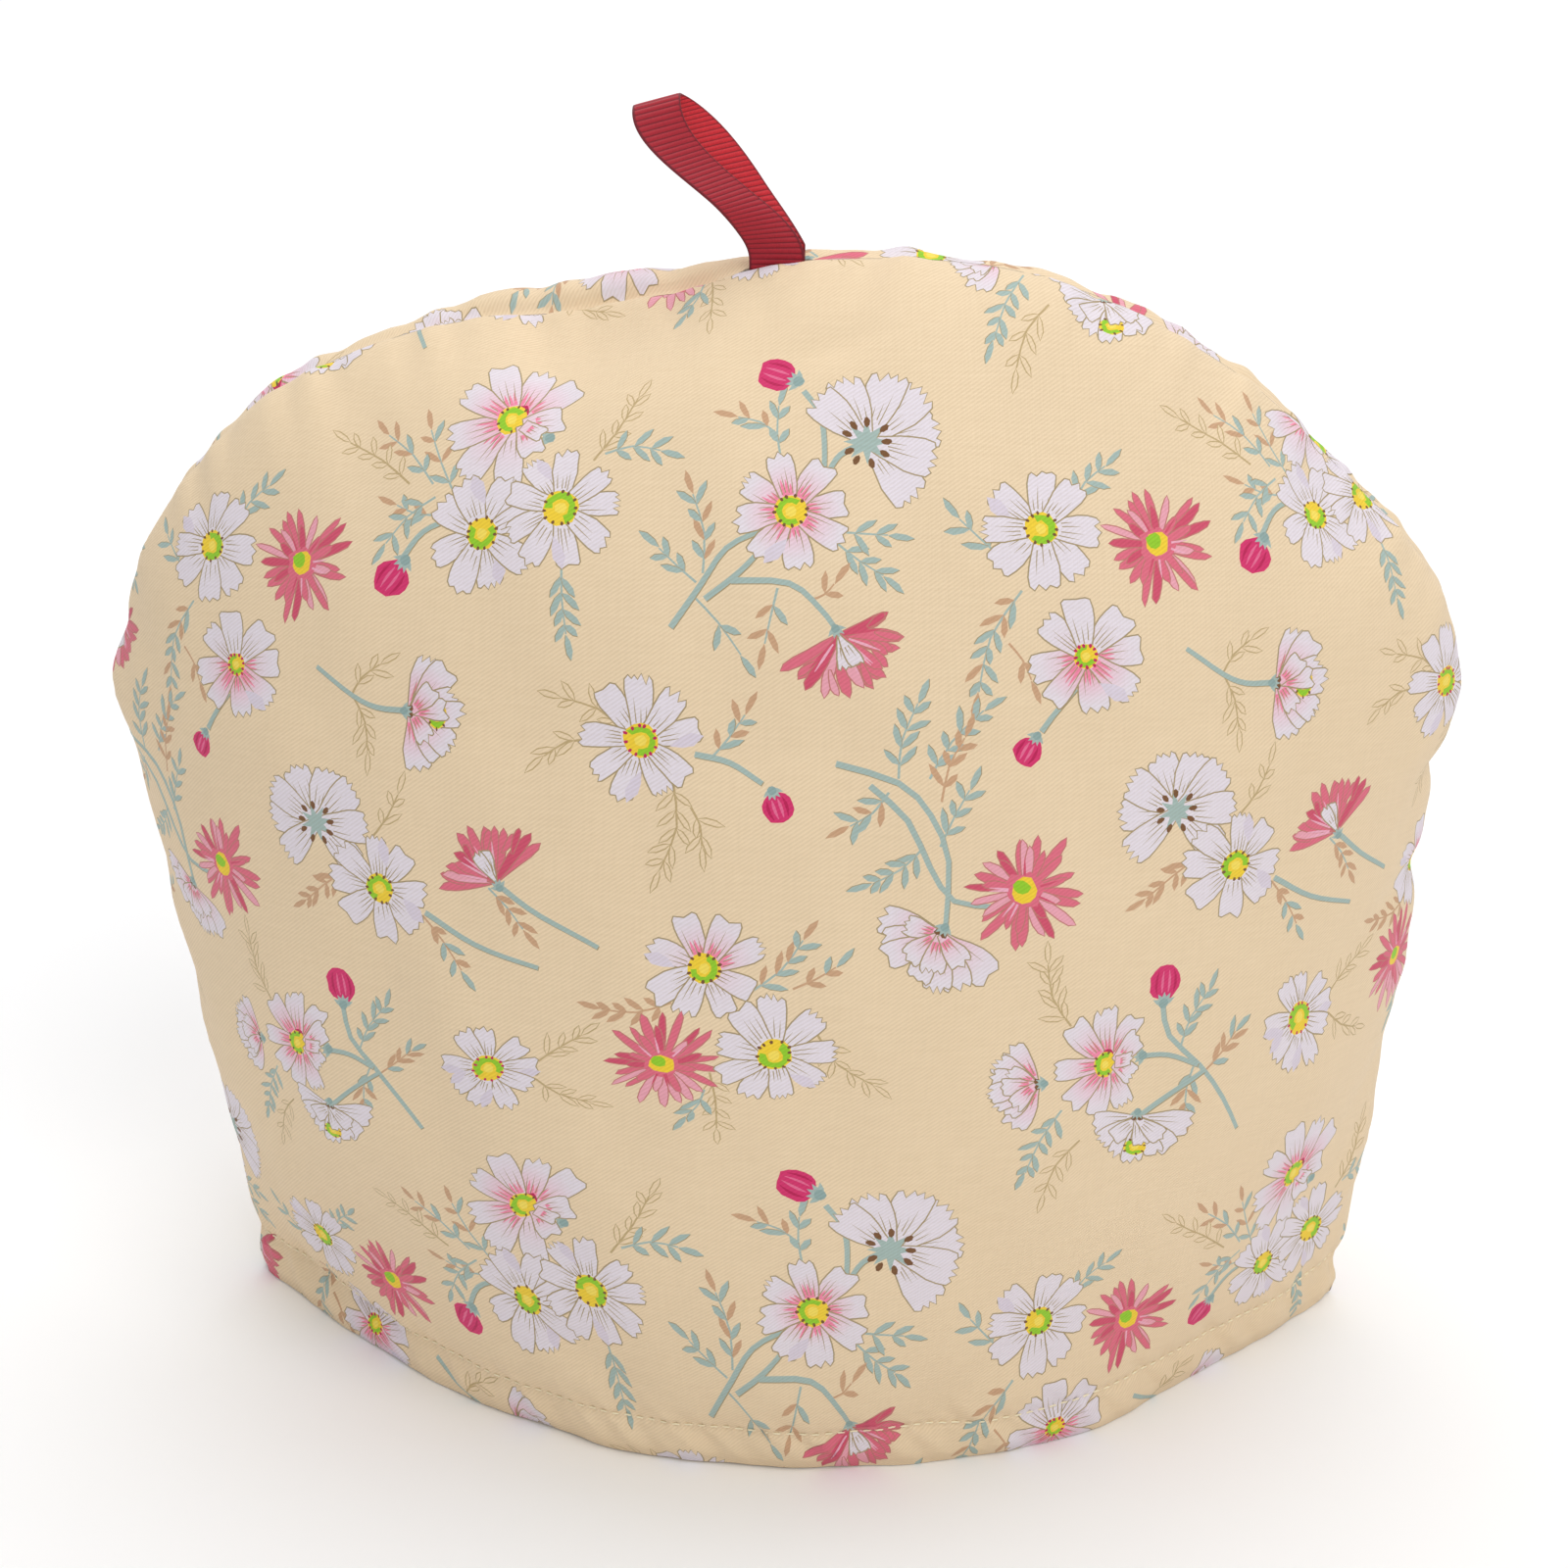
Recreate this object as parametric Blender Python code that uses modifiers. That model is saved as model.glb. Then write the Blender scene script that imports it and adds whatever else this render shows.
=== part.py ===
"""Padded tea cosy: a front and a back panel of wadded cloth, seamed round the dome, open at the hem.

Metres, +Z up. The hem rests on z = 0, the seam lies in the plane y = 0, the front faces -Y.
"""
import math

import bmesh
import bpy
import numpy as np
from mathutils import Matrix

# Outline of the seam, seen from the front.
HEM_LEFT = 0.1432
HEM_RIGHT = 0.1478
WIDE_LEFT = 0.1664
WIDE_RIGHT = 0.1622
SIDE_CURVE = 1.3
SIDE_SWELL_LEFT = -0.0010
SIDE_SWELL_RIGHT = 0.0060
SHOULDER_Z = 0.1707
TOP_Z = 0.2805
SHOULDER_TURN = math.radians(38)
APEX_SHIFT = 0.0033

# How far the cloth stands off the seam plane.
DEPTH_HEM = 0.0874
DEPTH_MIDDLE = 0.1025
LENS_HEM = 1.031
LENS_DOME = 0.7254
LENS_BLEND_Z = 0.100
SWELL_TURNS = 0.9

# Wadded wall, its seams and its hem.
WALL = 0.0060
SEAM_GAP = 0.0003
BELOW_HEM = 0.004
SEAM_GROOVE = 0.0022
SEAM_SOFT = 0.0032
HEM_VALLEY = 0.0013
HEM_VALLEY_Z = 0.0125
HEM_VALLEY_SOFT = 0.0042
HEM_ROLL = 0.0016
HEM_ROLL_SOFT = 0.0030

# Grid of each panel.
ACROSS = 38
UP = 27
ROW_CROWDING = 1.45

# Ribbon loop.
RIBBON_WIDTH = 0.0120
RIBBON_THICK = 0.0008
RIBBON_ROOT_Y = 0.0008
RIBBON_RISE = 0.0372
RIBBON_LEAN = 0.0262
RIBBON_LEAN_CURVE = 1.08
RIBBON_SWELL = 0.0088
RIBBON_SWELL_CURVE = 1.25
RIBBON_HELD = 0.09
RIBBON_FAR_SHIFT = 0.0022
RIBBON_TWIST = math.radians(21)
RIBBON_X = -0.0036
RIBBON_ROOT = 0.0120
RIBBON_STEPS = 40
RIBBON_ROWS = 2
SLOT_CLEARANCE = 0.0004
SLOT_OVERRUN = 0.02

# Soft troughs (depth above 0) and ridges (below 0) of the cloth:
# x, z, half length, half width, depth, turn in degrees from the x axis.
# Those of the first table run across the seam, the others fade out before it.
SEAM_FOLDS = (
    (-0.044, 0.2750, 0.030, 0.0140, 0.0046, 8),
    (-0.021, 0.2790, 0.009, 0.0090, 0.0022, 0),
    (0.056, 0.2720, 0.036, 0.0150, -0.0038, -14),
    (0.130, 0.2300, 0.022, 0.0140, 0.0030, -46),
    (0.161, 0.1900, 0.026, 0.0140, -0.0034, 100),
    (-0.122, 0.2360, 0.028, 0.0140, -0.0026, 44),
    (-0.142, 0.0130, 0.010, 0.0045, 0.0010, 78),
    (0.157, 0.1290, 0.012, 0.0050, 0.0022, 20),
    (0.161, 0.1560, 0.010, 0.0045, 0.0016, 8),
    (0.147, 0.0090, 0.008, 0.0040, 0.0016, 15),
    (-0.163, 0.1880, 0.014, 0.0060, 0.0014, -20),
)
FRONT_FOLDS = (
    (-0.046, 0.2700, 0.031, 0.0120, 0.0040, 9),
    (0.012, 0.2670, 0.010, 0.0028, 0.0014, 10),
    (0.060, 0.2680, 0.034, 0.0110, -0.0012, -16),
    (-0.006, 0.0910, 0.030, 0.0110, 0.0022, 28),
    (0.086, 0.0850, 0.048, 0.0120, 0.0024, 84),
    (-0.090, 0.1150, 0.040, 0.0150, 0.0020, 106),
    (0.030, 0.1780, 0.036, 0.0150, -0.0016, 20),
    (-0.112, 0.0120, 0.028, 0.0065, 0.0024, -6),
    (0.070, 0.0000, 0.032, 0.0280, -0.0050, 0),
    (0.050, 0.0260, 0.020, 0.0060, 0.0014, 40),
    (-0.045, 0.0300, 0.022, 0.0070, 0.0016, 140),
)
BACK_FOLDS = (
    (-0.045, 0.2700, 0.036, 0.0120, -0.0030, 8),
    (0.052, 0.2700, 0.034, 0.0110, 0.0024, -12),
    (0.020, 0.0950, 0.034, 0.0130, 0.0024, 152),
    (-0.078, 0.0900, 0.045, 0.0140, 0.0026, 98),
    (0.096, 0.1200, 0.042, 0.0150, 0.0020, 78),
    (-0.020, 0.1850, 0.038, 0.0160, -0.0016, 165),
    (0.110, 0.0130, 0.026, 0.0070, 0.0020, 8),
    (-0.112, 0.0300, 0.022, 0.0080, 0.0020, 70),
    (0.010, 0.0300, 0.024, 0.0070, 0.0014, 30),
)
FOLD_SOFT = 0.0060

CLOTH_SOLID = (0.84, 0.71, 0.48)
CLOTH_ROUGHNESS = 0.9
RIBBON_RED = (0.60, 0.013, 0.025)
RIBBON_ROUGHNESS = 0.75


def material(name, colour, roughness):
    made = bpy.data.materials.new(name)
    made.use_nodes = True
    shader = made.node_tree.nodes["Principled BSDF"]
    shader.inputs["Base Color"].default_value = (*colour, 1.0)
    shader.inputs["Roughness"].default_value = roughness
    return made


def add_object(name, mesh, collection):
    made = bpy.data.objects.new(name, mesh)
    collection.objects.link(made)
    return made


def with_modifiers_applied(made):
    """Swap the object's mesh for what its modifiers give, and take them off."""
    depsgraph = bpy.context.evaluated_depsgraph_get()
    shown = made.evaluated_get(depsgraph)
    mesh = bpy.data.meshes.new_from_object(shown, depsgraph=depsgraph)
    made.modifiers.clear()
    made.data = mesh


def grid_mesh(name, across, up):
    """A grid over -1..1 each way, whose vertices are moved afterwards."""
    grown = bmesh.new()
    bmesh.ops.create_grid(grown, x_segments=across, y_segments=up, size=1.0)
    mesh = bpy.data.meshes.new(name)
    grown.to_mesh(mesh)
    grown.free()
    return mesh


def vertex_array(mesh):
    flat = np.empty(len(mesh.vertices) * 3)
    mesh.vertices.foreach_get("co", flat)
    return flat.reshape(-1, 3)


def side_reach(z, on_left):
    """Half width of the seam outline at the height z, below the dome."""
    rise = np.clip(z / SHOULDER_Z, 0, 1)
    hem = np.where(on_left, HEM_LEFT, HEM_RIGHT)
    wide = np.where(on_left, WIDE_LEFT, WIDE_RIGHT)
    swell = np.where(on_left, SIDE_SWELL_LEFT, SIDE_SWELL_RIGHT)
    return hem + (wide - hem) * rise**SIDE_CURVE + swell * rise * (1 - rise)


def side_point(along, on_left):
    """A point of the side seam, from below the hem to the shoulder as along goes 0..1."""
    straight = SHOULDER_Z + BELOW_HEM
    curved = WIDE_LEFT * SHOULDER_TURN
    way = along * (straight + curved)
    z_low = np.minimum(way, straight) - BELOW_HEM
    turn = np.clip(way - straight, 0, None) / WIDE_LEFT
    x = side_reach(z_low, on_left) * np.cos(turn)
    z = z_low + (TOP_Z - SHOULDER_Z) * np.sin(turn)
    return np.where(on_left, -x, x) + APEX_SHIFT * np.sin(turn) ** 2, z


def dome_point(across):
    """A point of the top seam, from the left shoulder to the right one as across goes -1..1."""
    turn = math.pi / 2 - across * (math.pi / 2 - SHOULDER_TURN)
    x = np.where(across < 0, WIDE_LEFT, WIDE_RIGHT) * np.cos(turn)
    z = SHOULDER_Z + (TOP_Z - SHOULDER_Z) * np.sin(turn)
    return x + APEX_SHIFT * np.sin(turn) ** 2, z


def outline_place(across, up):
    """Where the grid point (across -1..1, up 0..1) lies on the seam plane, inside the outline."""
    right_share = (across + 1) / 2
    left_x, left_z = side_point(up, True)
    right_x, right_z = side_point(up, False)
    top_x, top_z = dome_point(across)
    hem_x = -HEM_LEFT + right_share * (HEM_LEFT + HEM_RIGHT)
    hem_z = -BELOW_HEM + 0 * across
    corner_left = side_point(np.array(1.0), True)
    corner_right = side_point(np.array(1.0), False)
    x = (1 - up) * hem_x + up * top_x + (1 - right_share) * left_x + right_share * right_x
    z = (1 - up) * hem_z + up * top_z + (1 - right_share) * left_z + right_share * right_z
    x -= (1 - up) * ((1 - right_share) * -HEM_LEFT + right_share * HEM_RIGHT)
    x -= up * ((1 - right_share) * corner_left[0] + right_share * corner_right[0])
    z -= (1 - up) * -BELOW_HEM
    z -= up * ((1 - right_share) * corner_left[1] + right_share * corner_right[1])
    return x, z


def stand_off(x, z):
    """Depth of the smooth cloth in front of the seam plane at (x, z)."""
    dome = np.clip((z - SHOULDER_Z) / (TOP_Z - SHOULDER_Z), 0, None)
    sideways = x - APEX_SHIFT * dome**2
    reach = side_reach(z, sideways < 0)
    edge = np.clip((sideways / reach) ** 2 + dome**2, 0, 1)
    blend = np.clip(z / LENS_BLEND_Z, 0, 1)
    blend = blend * blend * (3 - 2 * blend)
    lens = LENS_HEM + (LENS_DOME - LENS_HEM) * blend
    rise = np.clip(z / SHOULDER_Z * SWELL_TURNS, 0, 1)
    deep = DEPTH_HEM + (DEPTH_MIDDLE - DEPTH_HEM) * np.sin(math.pi * rise)
    return deep * (1 - edge) ** lens


def fold_depth(x, z, folds):
    """How far the cloth is pressed in at (x, z) by one table of folds."""
    pressed = 0 * x
    for at_x, at_z, length, width, depth, turn in folds:
        turn = math.radians(turn)
        along = (x - at_x) * math.cos(turn) + (z - at_z) * math.sin(turn)
        across = (z - at_z) * math.cos(turn) - (x - at_x) * math.sin(turn)
        pressed = pressed + depth * np.exp(-((along / length) ** 2) - (across / width) ** 2)
    return pressed


def seam_and_hem_depth(y, z):
    """How far the cloth is pressed in along the seam, the hem's stitching and the hem's edge."""
    groove = SEAM_GROOVE * np.exp(-((y / SEAM_SOFT) ** 2))
    valley = HEM_VALLEY * np.exp(-(((z - HEM_VALLEY_Z) / HEM_VALLEY_SOFT) ** 2))
    roll = HEM_ROLL * np.exp(-((np.clip(z, 0, None) / HEM_ROLL_SOFT) ** 2))
    return groove + valley + roll


def outer_cloth(name, side):
    """The smooth outer face of the panel on one side of the seam."""
    mesh = grid_mesh(name, ACROSS, UP)
    grid = vertex_array(mesh)
    across = np.sin(grid[:, 0] * math.pi / 2)
    up = np.sin(((grid[:, 1] + 1) / 2) ** ROW_CROWDING * math.pi / 2)
    x, z = outline_place(across, up)
    placed = np.stack([x, side * stand_off(x, z), z], axis=1)
    mesh.vertices.foreach_set("co", placed.ravel())
    if side > 0:
        mesh.flip_normals()
    return mesh


def wadded_panel(name, side, folds, collection):
    """The closed wadded wall on one side of the seam, before it is cut flat."""
    panel = add_object(name, outer_cloth(name, side), collection)
    outer_count = len(panel.data.vertices)
    wall = panel.modifiers.new("wall", "SOLIDIFY")
    wall.thickness = WALL
    wall.offset = -1
    wall.use_even_offset = True
    with_modifiers_applied(panel)
    points = vertex_array(panel.data)
    outer = points[:outer_count]
    inward = points[outer_count:] - outer
    inward /= np.linalg.norm(inward, axis=1, keepdims=True)
    x, y, z = outer.T
    off_seam = 1 - np.exp(-((y / FOLD_SOFT) ** 2))
    folded = fold_depth(x, z, SEAM_FOLDS) + off_seam * fold_depth(x, z, folds)
    pressed = folded + seam_and_hem_depth(y, z)
    points[outer_count:] += inward * folded[:, None]
    points[:outer_count] += inward * pressed[:, None]
    panel.data.vertices.foreach_set("co", points.ravel())
    return panel


def box(name, low, high, collection):
    """A cutter: a cube drawn between two corners."""
    grown = bmesh.new()
    size = [b - a for a, b in zip(low, high)]
    middle = [(a + b) / 2 for a, b in zip(low, high)]
    placing = Matrix.Translation(middle) @ Matrix.Diagonal((*size, 1.0))
    bmesh.ops.create_cube(grown, size=1.0, matrix=placing)
    mesh = bpy.data.meshes.new(name)
    grown.to_mesh(mesh)
    grown.free()
    made = add_object(name, mesh, collection)
    made.hide_render = True
    made.display_type = "WIRE"
    return made


def cut(part, cutter, operation):
    step = part.modifiers.new(cutter.name, "BOOLEAN")
    step.operation = operation
    step.solver = "EXACT"
    step.object = cutter


def ribbon_path(along):
    """Middle of the ribbon's width as along goes 0 (near root) .. 1 (far root)."""
    turn = along * math.pi
    climb = math.sin(turn)
    free = max(0.0, climb - RIBBON_HELD) / (1 - RIBBON_HELD)
    y = -math.cos(turn) * (RIBBON_ROOT_Y + RIBBON_SWELL * free**RIBBON_SWELL_CURVE)
    x = RIBBON_X - RIBBON_LEAN * free**RIBBON_LEAN_CURVE
    if along > 0.5:
        x += RIBBON_FAR_SHIFT * math.sin(2 * turn) ** 2
    return x, y, climb


def ribbon_loop(seam_z, collection):
    """One strip, folded over, whose two ends stand side by side below the seam."""
    mesh = grid_mesh("ribbon_loop", RIBBON_STEPS, RIBBON_ROWS)
    grid = vertex_array(mesh)
    root_share = RIBBON_ROOT / (RIBBON_RISE + RIBBON_ROOT)
    for i, (along, over, _) in enumerate(grid):
        way = (along + 1) / 2
        leg = min(way, 1 - way) * 2
        if leg < root_share / 2:
            x, y, climb = ribbon_path(0.0 if way < 0.5 else 1.0)
            z = seam_z - RIBBON_ROOT * (1 - leg / (root_share / 2))
        else:
            loop = (leg - root_share / 2) / (1 - root_share / 2) / 2
            x, y, climb = ribbon_path(loop if way < 0.5 else 1 - loop)
            z = seam_z + RIBBON_RISE * climb
        tilt = RIBBON_TWIST * climb
        half = over * RIBBON_WIDTH / 2
        grid[i] = (x + half * math.cos(tilt), y, z + half * math.sin(tilt))
    mesh.vertices.foreach_set("co", grid.ravel())
    ribbon = add_object("ribbon_loop", mesh, collection)
    wall = ribbon.modifiers.new("wall", "SOLIDIFY")
    wall.thickness = RIBBON_THICK
    wall.offset = 0
    wall.use_even_offset = True
    with_modifiers_applied(ribbon)
    return ribbon


def shade(part, made_of):
    part.data.materials.clear()
    part.data.materials.append(made_of)


def main():
    for old in list(bpy.data.objects):
        bpy.data.objects.remove(old, do_unlink=True)
    cosy = bpy.data.collections.new("tea_cosy")
    cutters = bpy.data.collections.new("cutters")
    bpy.context.scene.collection.children.link(cosy)
    bpy.context.scene.collection.children.link(cutters)

    seam_z = TOP_Z - SEAM_GROOVE
    half_gap = SEAM_GAP / 2
    front_side = box("front_side", (-0.3, -0.3, 0), (0.3, -half_gap, 0.4), cutters)
    back_side = box("back_side", (-0.3, half_gap, 0), (0.3, 0.3, 0.4), cutters)
    slot_half_width = RIBBON_WIDTH / 2 + SLOT_CLEARANCE
    slot_half_depth = RIBBON_ROOT_Y + RIBBON_THICK / 2 + SLOT_CLEARANCE
    slot = box(
        "ribbon_slot",
        (RIBBON_X - slot_half_width, -slot_half_depth, seam_z - RIBBON_ROOT - SLOT_CLEARANCE),
        (RIBBON_X + slot_half_width, slot_half_depth, TOP_Z + SLOT_OVERRUN),
        cutters,
    )

    cloth = material("printed_cloth", CLOTH_SOLID, CLOTH_ROUGHNESS)
    red = material("red_ribbon", RIBBON_RED, RIBBON_ROUGHNESS)
    front = wadded_panel("front_panel", -1, FRONT_FOLDS, cosy)
    back = wadded_panel("back_panel", 1, BACK_FOLDS, cosy)
    for panel, half_space in ((front, front_side), (back, back_side)):
        cut(panel, half_space, "INTERSECT")
        cut(panel, slot, "DIFFERENCE")
        with_modifiers_applied(panel)
        shade(panel, cloth)
    ribbon = ribbon_loop(seam_z, cosy)
    shade(ribbon, red)


main()
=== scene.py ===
"""The tea cosy dressed: printed wadded panels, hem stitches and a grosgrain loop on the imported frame.

Metres, +Z up; the front faces -Y. The print is charted in millimetres of flat cloth.
"""
import itertools
import math
from collections import namedtuple
from functools import partial

import bpy
import numpy as np
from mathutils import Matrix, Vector
from mathutils.bvhtree import BVHTree
from mathutils.geometry import delaunay_2d_cdt

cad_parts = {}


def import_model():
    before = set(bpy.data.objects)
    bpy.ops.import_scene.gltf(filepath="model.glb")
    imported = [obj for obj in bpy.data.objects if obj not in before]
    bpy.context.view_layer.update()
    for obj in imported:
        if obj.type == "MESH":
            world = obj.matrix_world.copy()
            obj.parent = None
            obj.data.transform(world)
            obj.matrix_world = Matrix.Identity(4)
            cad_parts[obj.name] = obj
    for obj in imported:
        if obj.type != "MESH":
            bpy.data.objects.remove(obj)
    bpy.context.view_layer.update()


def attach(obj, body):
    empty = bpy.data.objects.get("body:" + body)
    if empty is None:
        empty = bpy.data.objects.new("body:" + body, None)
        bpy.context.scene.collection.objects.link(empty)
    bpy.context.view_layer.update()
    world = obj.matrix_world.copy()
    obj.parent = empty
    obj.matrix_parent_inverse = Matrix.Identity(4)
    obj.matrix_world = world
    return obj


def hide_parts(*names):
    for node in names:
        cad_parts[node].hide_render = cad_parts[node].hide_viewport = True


# A painted shape of the print, and the second ink that may glow within it from a place outwards.
Shape = namedtuple("Shape", "edge ink glow")
Glow = namedtuple("Glow", "ink at near far most")

# Camera, fitted to the photograph's outline of the cosy.
CAMERA_DISTANCE = 0.8706
CAMERA_RISE = math.radians(24.3941)
CAMERA_TURN = math.radians(2.7377)
CAMERA_TARGET = (-0.0004, 0.0, 0.1441)
CAMERA_LENS = 80.23
CAMERA_SENSOR = 36.0

# Outline of the seam seen from the front, as in the part's source.
HEM_LEFT = 0.1432
HEM_RIGHT = 0.1478
WIDE_LEFT = 0.1664
WIDE_RIGHT = 0.1622
SIDE_CURVE = 1.3
SIDE_SWELL_LEFT = -0.0010
SIDE_SWELL_RIGHT = 0.0060
SHOULDER_Z = 0.1707
TOP_Z = 0.2805
SHOULDER_TURN = math.radians(38)
APEX_SHIFT = 0.0033

# How far the cloth stands off the seam plane.
DEPTH_HEM = 0.0874
DEPTH_MIDDLE = 0.1025
LENS_HEM = 1.031
LENS_DOME = 0.7254
LENS_BLEND_Z = 0.100
SWELL_TURNS = 0.9

# Wadded wall, its seam and its hem.
WALL = 0.0060
HALF_GAP = 0.00015
SEAM_GROOVE = 0.0022
SEAM_SOFT = 0.0032
HEM_VALLEY = 0.0009
HEM_VALLEY_Z = 0.0125
HEM_VALLEY_SOFT = 0.0042
HEM_ROLL = 0.0016
HEM_ROLL_SOFT = 0.0030

# Stitches of the hem and what they do to the cloth.
STITCH_PITCH = 0.0031
STITCH_LONG = 0.0021
STITCH_THICK = 0.00050
STITCH_VALLEY = 0.00045
STITCH_VALLEY_SOFT = 0.0012
STITCH_PULL = 0.00028
STITCH_SIDES = 8
STITCH_RADII = (0.45, 0.85, 1.0, 1.0, 1.0, 0.85, 0.45)
STITCH_WOBBLE = 0.00012
STITCH_END_MARGIN = 0.004
STITCH_HOLD = 0.75
STITCH_HOLD_SOFT = 0.0016
PUCKER_DEEP = 0.00078
PUCKER_SOFT = 0.0080
PUCKER_BELOW = 0.002

# Puckers along the seam, the wadding's softness all over, and the seam's dip left of the ribbon.
SEAM_PUCKER_DEEP = 0.00085
SEAM_PUCKER_NEAR = 0.004
SEAM_PUCKER_FAR = 0.020
SOFTNESS = 0.00075
SAG_DEEP = 0.0030
SAG_SOFT = 0.0050
SAG_X = -0.048
SAG_WIDE = 0.034

# Steps in u and v that slopes are measured over.
WALL_STEP = 1e-3
FINE_STEP = 6e-4

# Soft troughs (depth above 0) and ridges (below 0) of the cloth:
# x, z, half length, half width, depth, turn in degrees from the x axis.
SEAM_FOLDS = (
    (-0.044, 0.2750, 0.030, 0.0140, 0.0046, 8),
    (-0.021, 0.2790, 0.009, 0.0090, 0.0022, 0),
    (0.056, 0.2720, 0.036, 0.0150, -0.0038, -14),
    (0.130, 0.2300, 0.022, 0.0140, 0.0030, -46),
    (0.161, 0.1900, 0.026, 0.0140, -0.0034, 100),
    (-0.122, 0.2360, 0.028, 0.0140, -0.0026, 44),
    (-0.142, 0.0130, 0.010, 0.0045, 0.0010, 78),
    (0.157, 0.1290, 0.012, 0.0050, 0.0022, 20),
    (0.161, 0.1560, 0.010, 0.0045, 0.0016, 8),
    (0.147, 0.0090, 0.008, 0.0040, 0.0016, 15),
    (-0.163, 0.1880, 0.014, 0.0060, 0.0014, -20),
)
FRONT_FOLDS = (
    (-0.046, 0.2700, 0.031, 0.0120, 0.0040, 9),
    (0.012, 0.2670, 0.010, 0.0028, 0.0014, 10),
    (0.060, 0.2680, 0.034, 0.0110, -0.0012, -16),
    (-0.006, 0.0910, 0.030, 0.0110, 0.0022, 28),
    (0.086, 0.0850, 0.048, 0.0120, 0.0024, 84),
    (-0.090, 0.1150, 0.040, 0.0150, 0.0020, 106),
    (0.030, 0.1780, 0.036, 0.0150, -0.0016, 20),
    (-0.112, 0.0120, 0.028, 0.0065, 0.0024, -6),
    (0.070, 0.0000, 0.032, 0.0280, -0.0050, 0),
    (0.050, 0.0260, 0.020, 0.0060, 0.0014, 40),
    (-0.045, 0.0300, 0.022, 0.0070, 0.0016, 140),
)
BACK_FOLDS = (
    (-0.045, 0.2700, 0.036, 0.0120, -0.0030, 8),
    (0.052, 0.2700, 0.034, 0.0110, 0.0024, -12),
    (0.020, 0.0950, 0.034, 0.0130, 0.0024, 152),
    (-0.078, 0.0900, 0.045, 0.0140, 0.0026, 98),
    (0.096, 0.1200, 0.042, 0.0150, 0.0020, 78),
    (-0.020, 0.1850, 0.038, 0.0160, -0.0016, 165),
    (0.110, 0.0130, 0.026, 0.0070, 0.0020, 8),
    (-0.112, 0.0300, 0.022, 0.0080, 0.0020, 70),
    (0.010, 0.0300, 0.024, 0.0070, 0.0014, 30),
)
FOLD_SOFT = 0.0060
SEAM_TURN = 0.0045
SEAM_CLEAR = 0.98
FRONT, BACK = -1, 1
FOLDS = {FRONT: FRONT_FOLDS, BACK: BACK_FOLDS}

# Ribbon loop.
RIBBON_WIDTH = 0.0130
RIBBON_THICK = 0.0008
RIBBON_ROOT_Y = 0.0008
RIBBON_RISE = 0.0372
RIBBON_LEAN = 0.0276
RIBBON_LEAN_CURVE = 1.08
RIBBON_SWELL = 0.0088
RIBBON_SWELL_CURVE = 1.25
RIBBON_HELD = 0.09
RIBBON_FAR_SHIFT = 0.0022
RIBBON_YAW = math.radians(36)
RIBBON_TWIST = math.radians(7)
RIBBON_TURN_DONE = 0.45
RIBBON_NEAR_BEND = 0.45
RIBBON_X = -0.0020
RIBBON_ROOT = 0.0110
RIBBON_POINTS = 600
RIBBON_ROOT_POINTS = 40
RIB_PITCH = 0.00135
RIB_DEEP = 0.00024
RIB_STEPS = 8
SELVEDGE = 0.93

# The seam's gap where the ribbon's two layers stand in it.
PARTED = 0.00135
PARTED_SIDE = 0.0002
PARTED_SOFT = 0.0030
PARTED_DOWN = 0.012


def bell(value, soft):
    """1 at zero, fading to both sides."""
    return np.exp(-((value / soft) ** 2))


def smooth_step(share):
    """0 .. 1 with soft ends."""
    return share * share * (3 - 2 * share)


def unit(vectors, least=1e-15):
    """The vectors at length 1."""
    return vectors / np.maximum(np.linalg.norm(vectors, axis=-1, keepdims=True), least)


def way_along(line):
    """How far along a line each of its points is."""
    return np.concatenate([[0], np.cumsum(np.linalg.norm(np.diff(line, axis=0), axis=1))])


def at_way(line, way, wanted):
    """The places that lie so far along a line."""
    return np.stack([np.interp(wanted, way, column) for column in line.T], axis=-1)


def side_reach(z, on_left):
    """Distance of the seam from the middle plane at height z, below the shoulder."""
    rise = np.clip(z / SHOULDER_Z, 0, 1)
    hem = np.where(on_left, HEM_LEFT, HEM_RIGHT)
    wide = np.where(on_left, WIDE_LEFT, WIDE_RIGHT)
    swell = np.where(on_left, SIDE_SWELL_LEFT, SIDE_SWELL_RIGHT)
    return hem + (wide - hem) * rise**SIDE_CURVE + swell * rise * (1 - rise)


def side_point(along, on_left):
    """Point of the side seam as along goes 0 (hem) .. 1 (where the dome's top row starts)."""
    way = along * (SHOULDER_Z + WIDE_LEFT * SHOULDER_TURN)
    z_low = np.minimum(way, SHOULDER_Z)
    turn = np.clip(way - SHOULDER_Z, 0, None) / WIDE_LEFT
    x = side_reach(z_low, on_left) * np.cos(turn)
    z = z_low + (TOP_Z - SHOULDER_Z) * np.sin(turn)
    return np.where(on_left, -x, x) + APEX_SHIFT * np.sin(turn) ** 2, z


def dome_point(across):
    """Point of the dome's top seam as across goes -1 (left) .. 1 (right)."""
    turn = math.pi / 2 - across * (math.pi / 2 - SHOULDER_TURN)
    x = np.where(across < 0, WIDE_LEFT, WIDE_RIGHT) * np.cos(turn)
    z = SHOULDER_Z + (TOP_Z - SHOULDER_Z) * np.sin(turn)
    return x + APEX_SHIFT * np.sin(turn) ** 2, z


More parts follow.
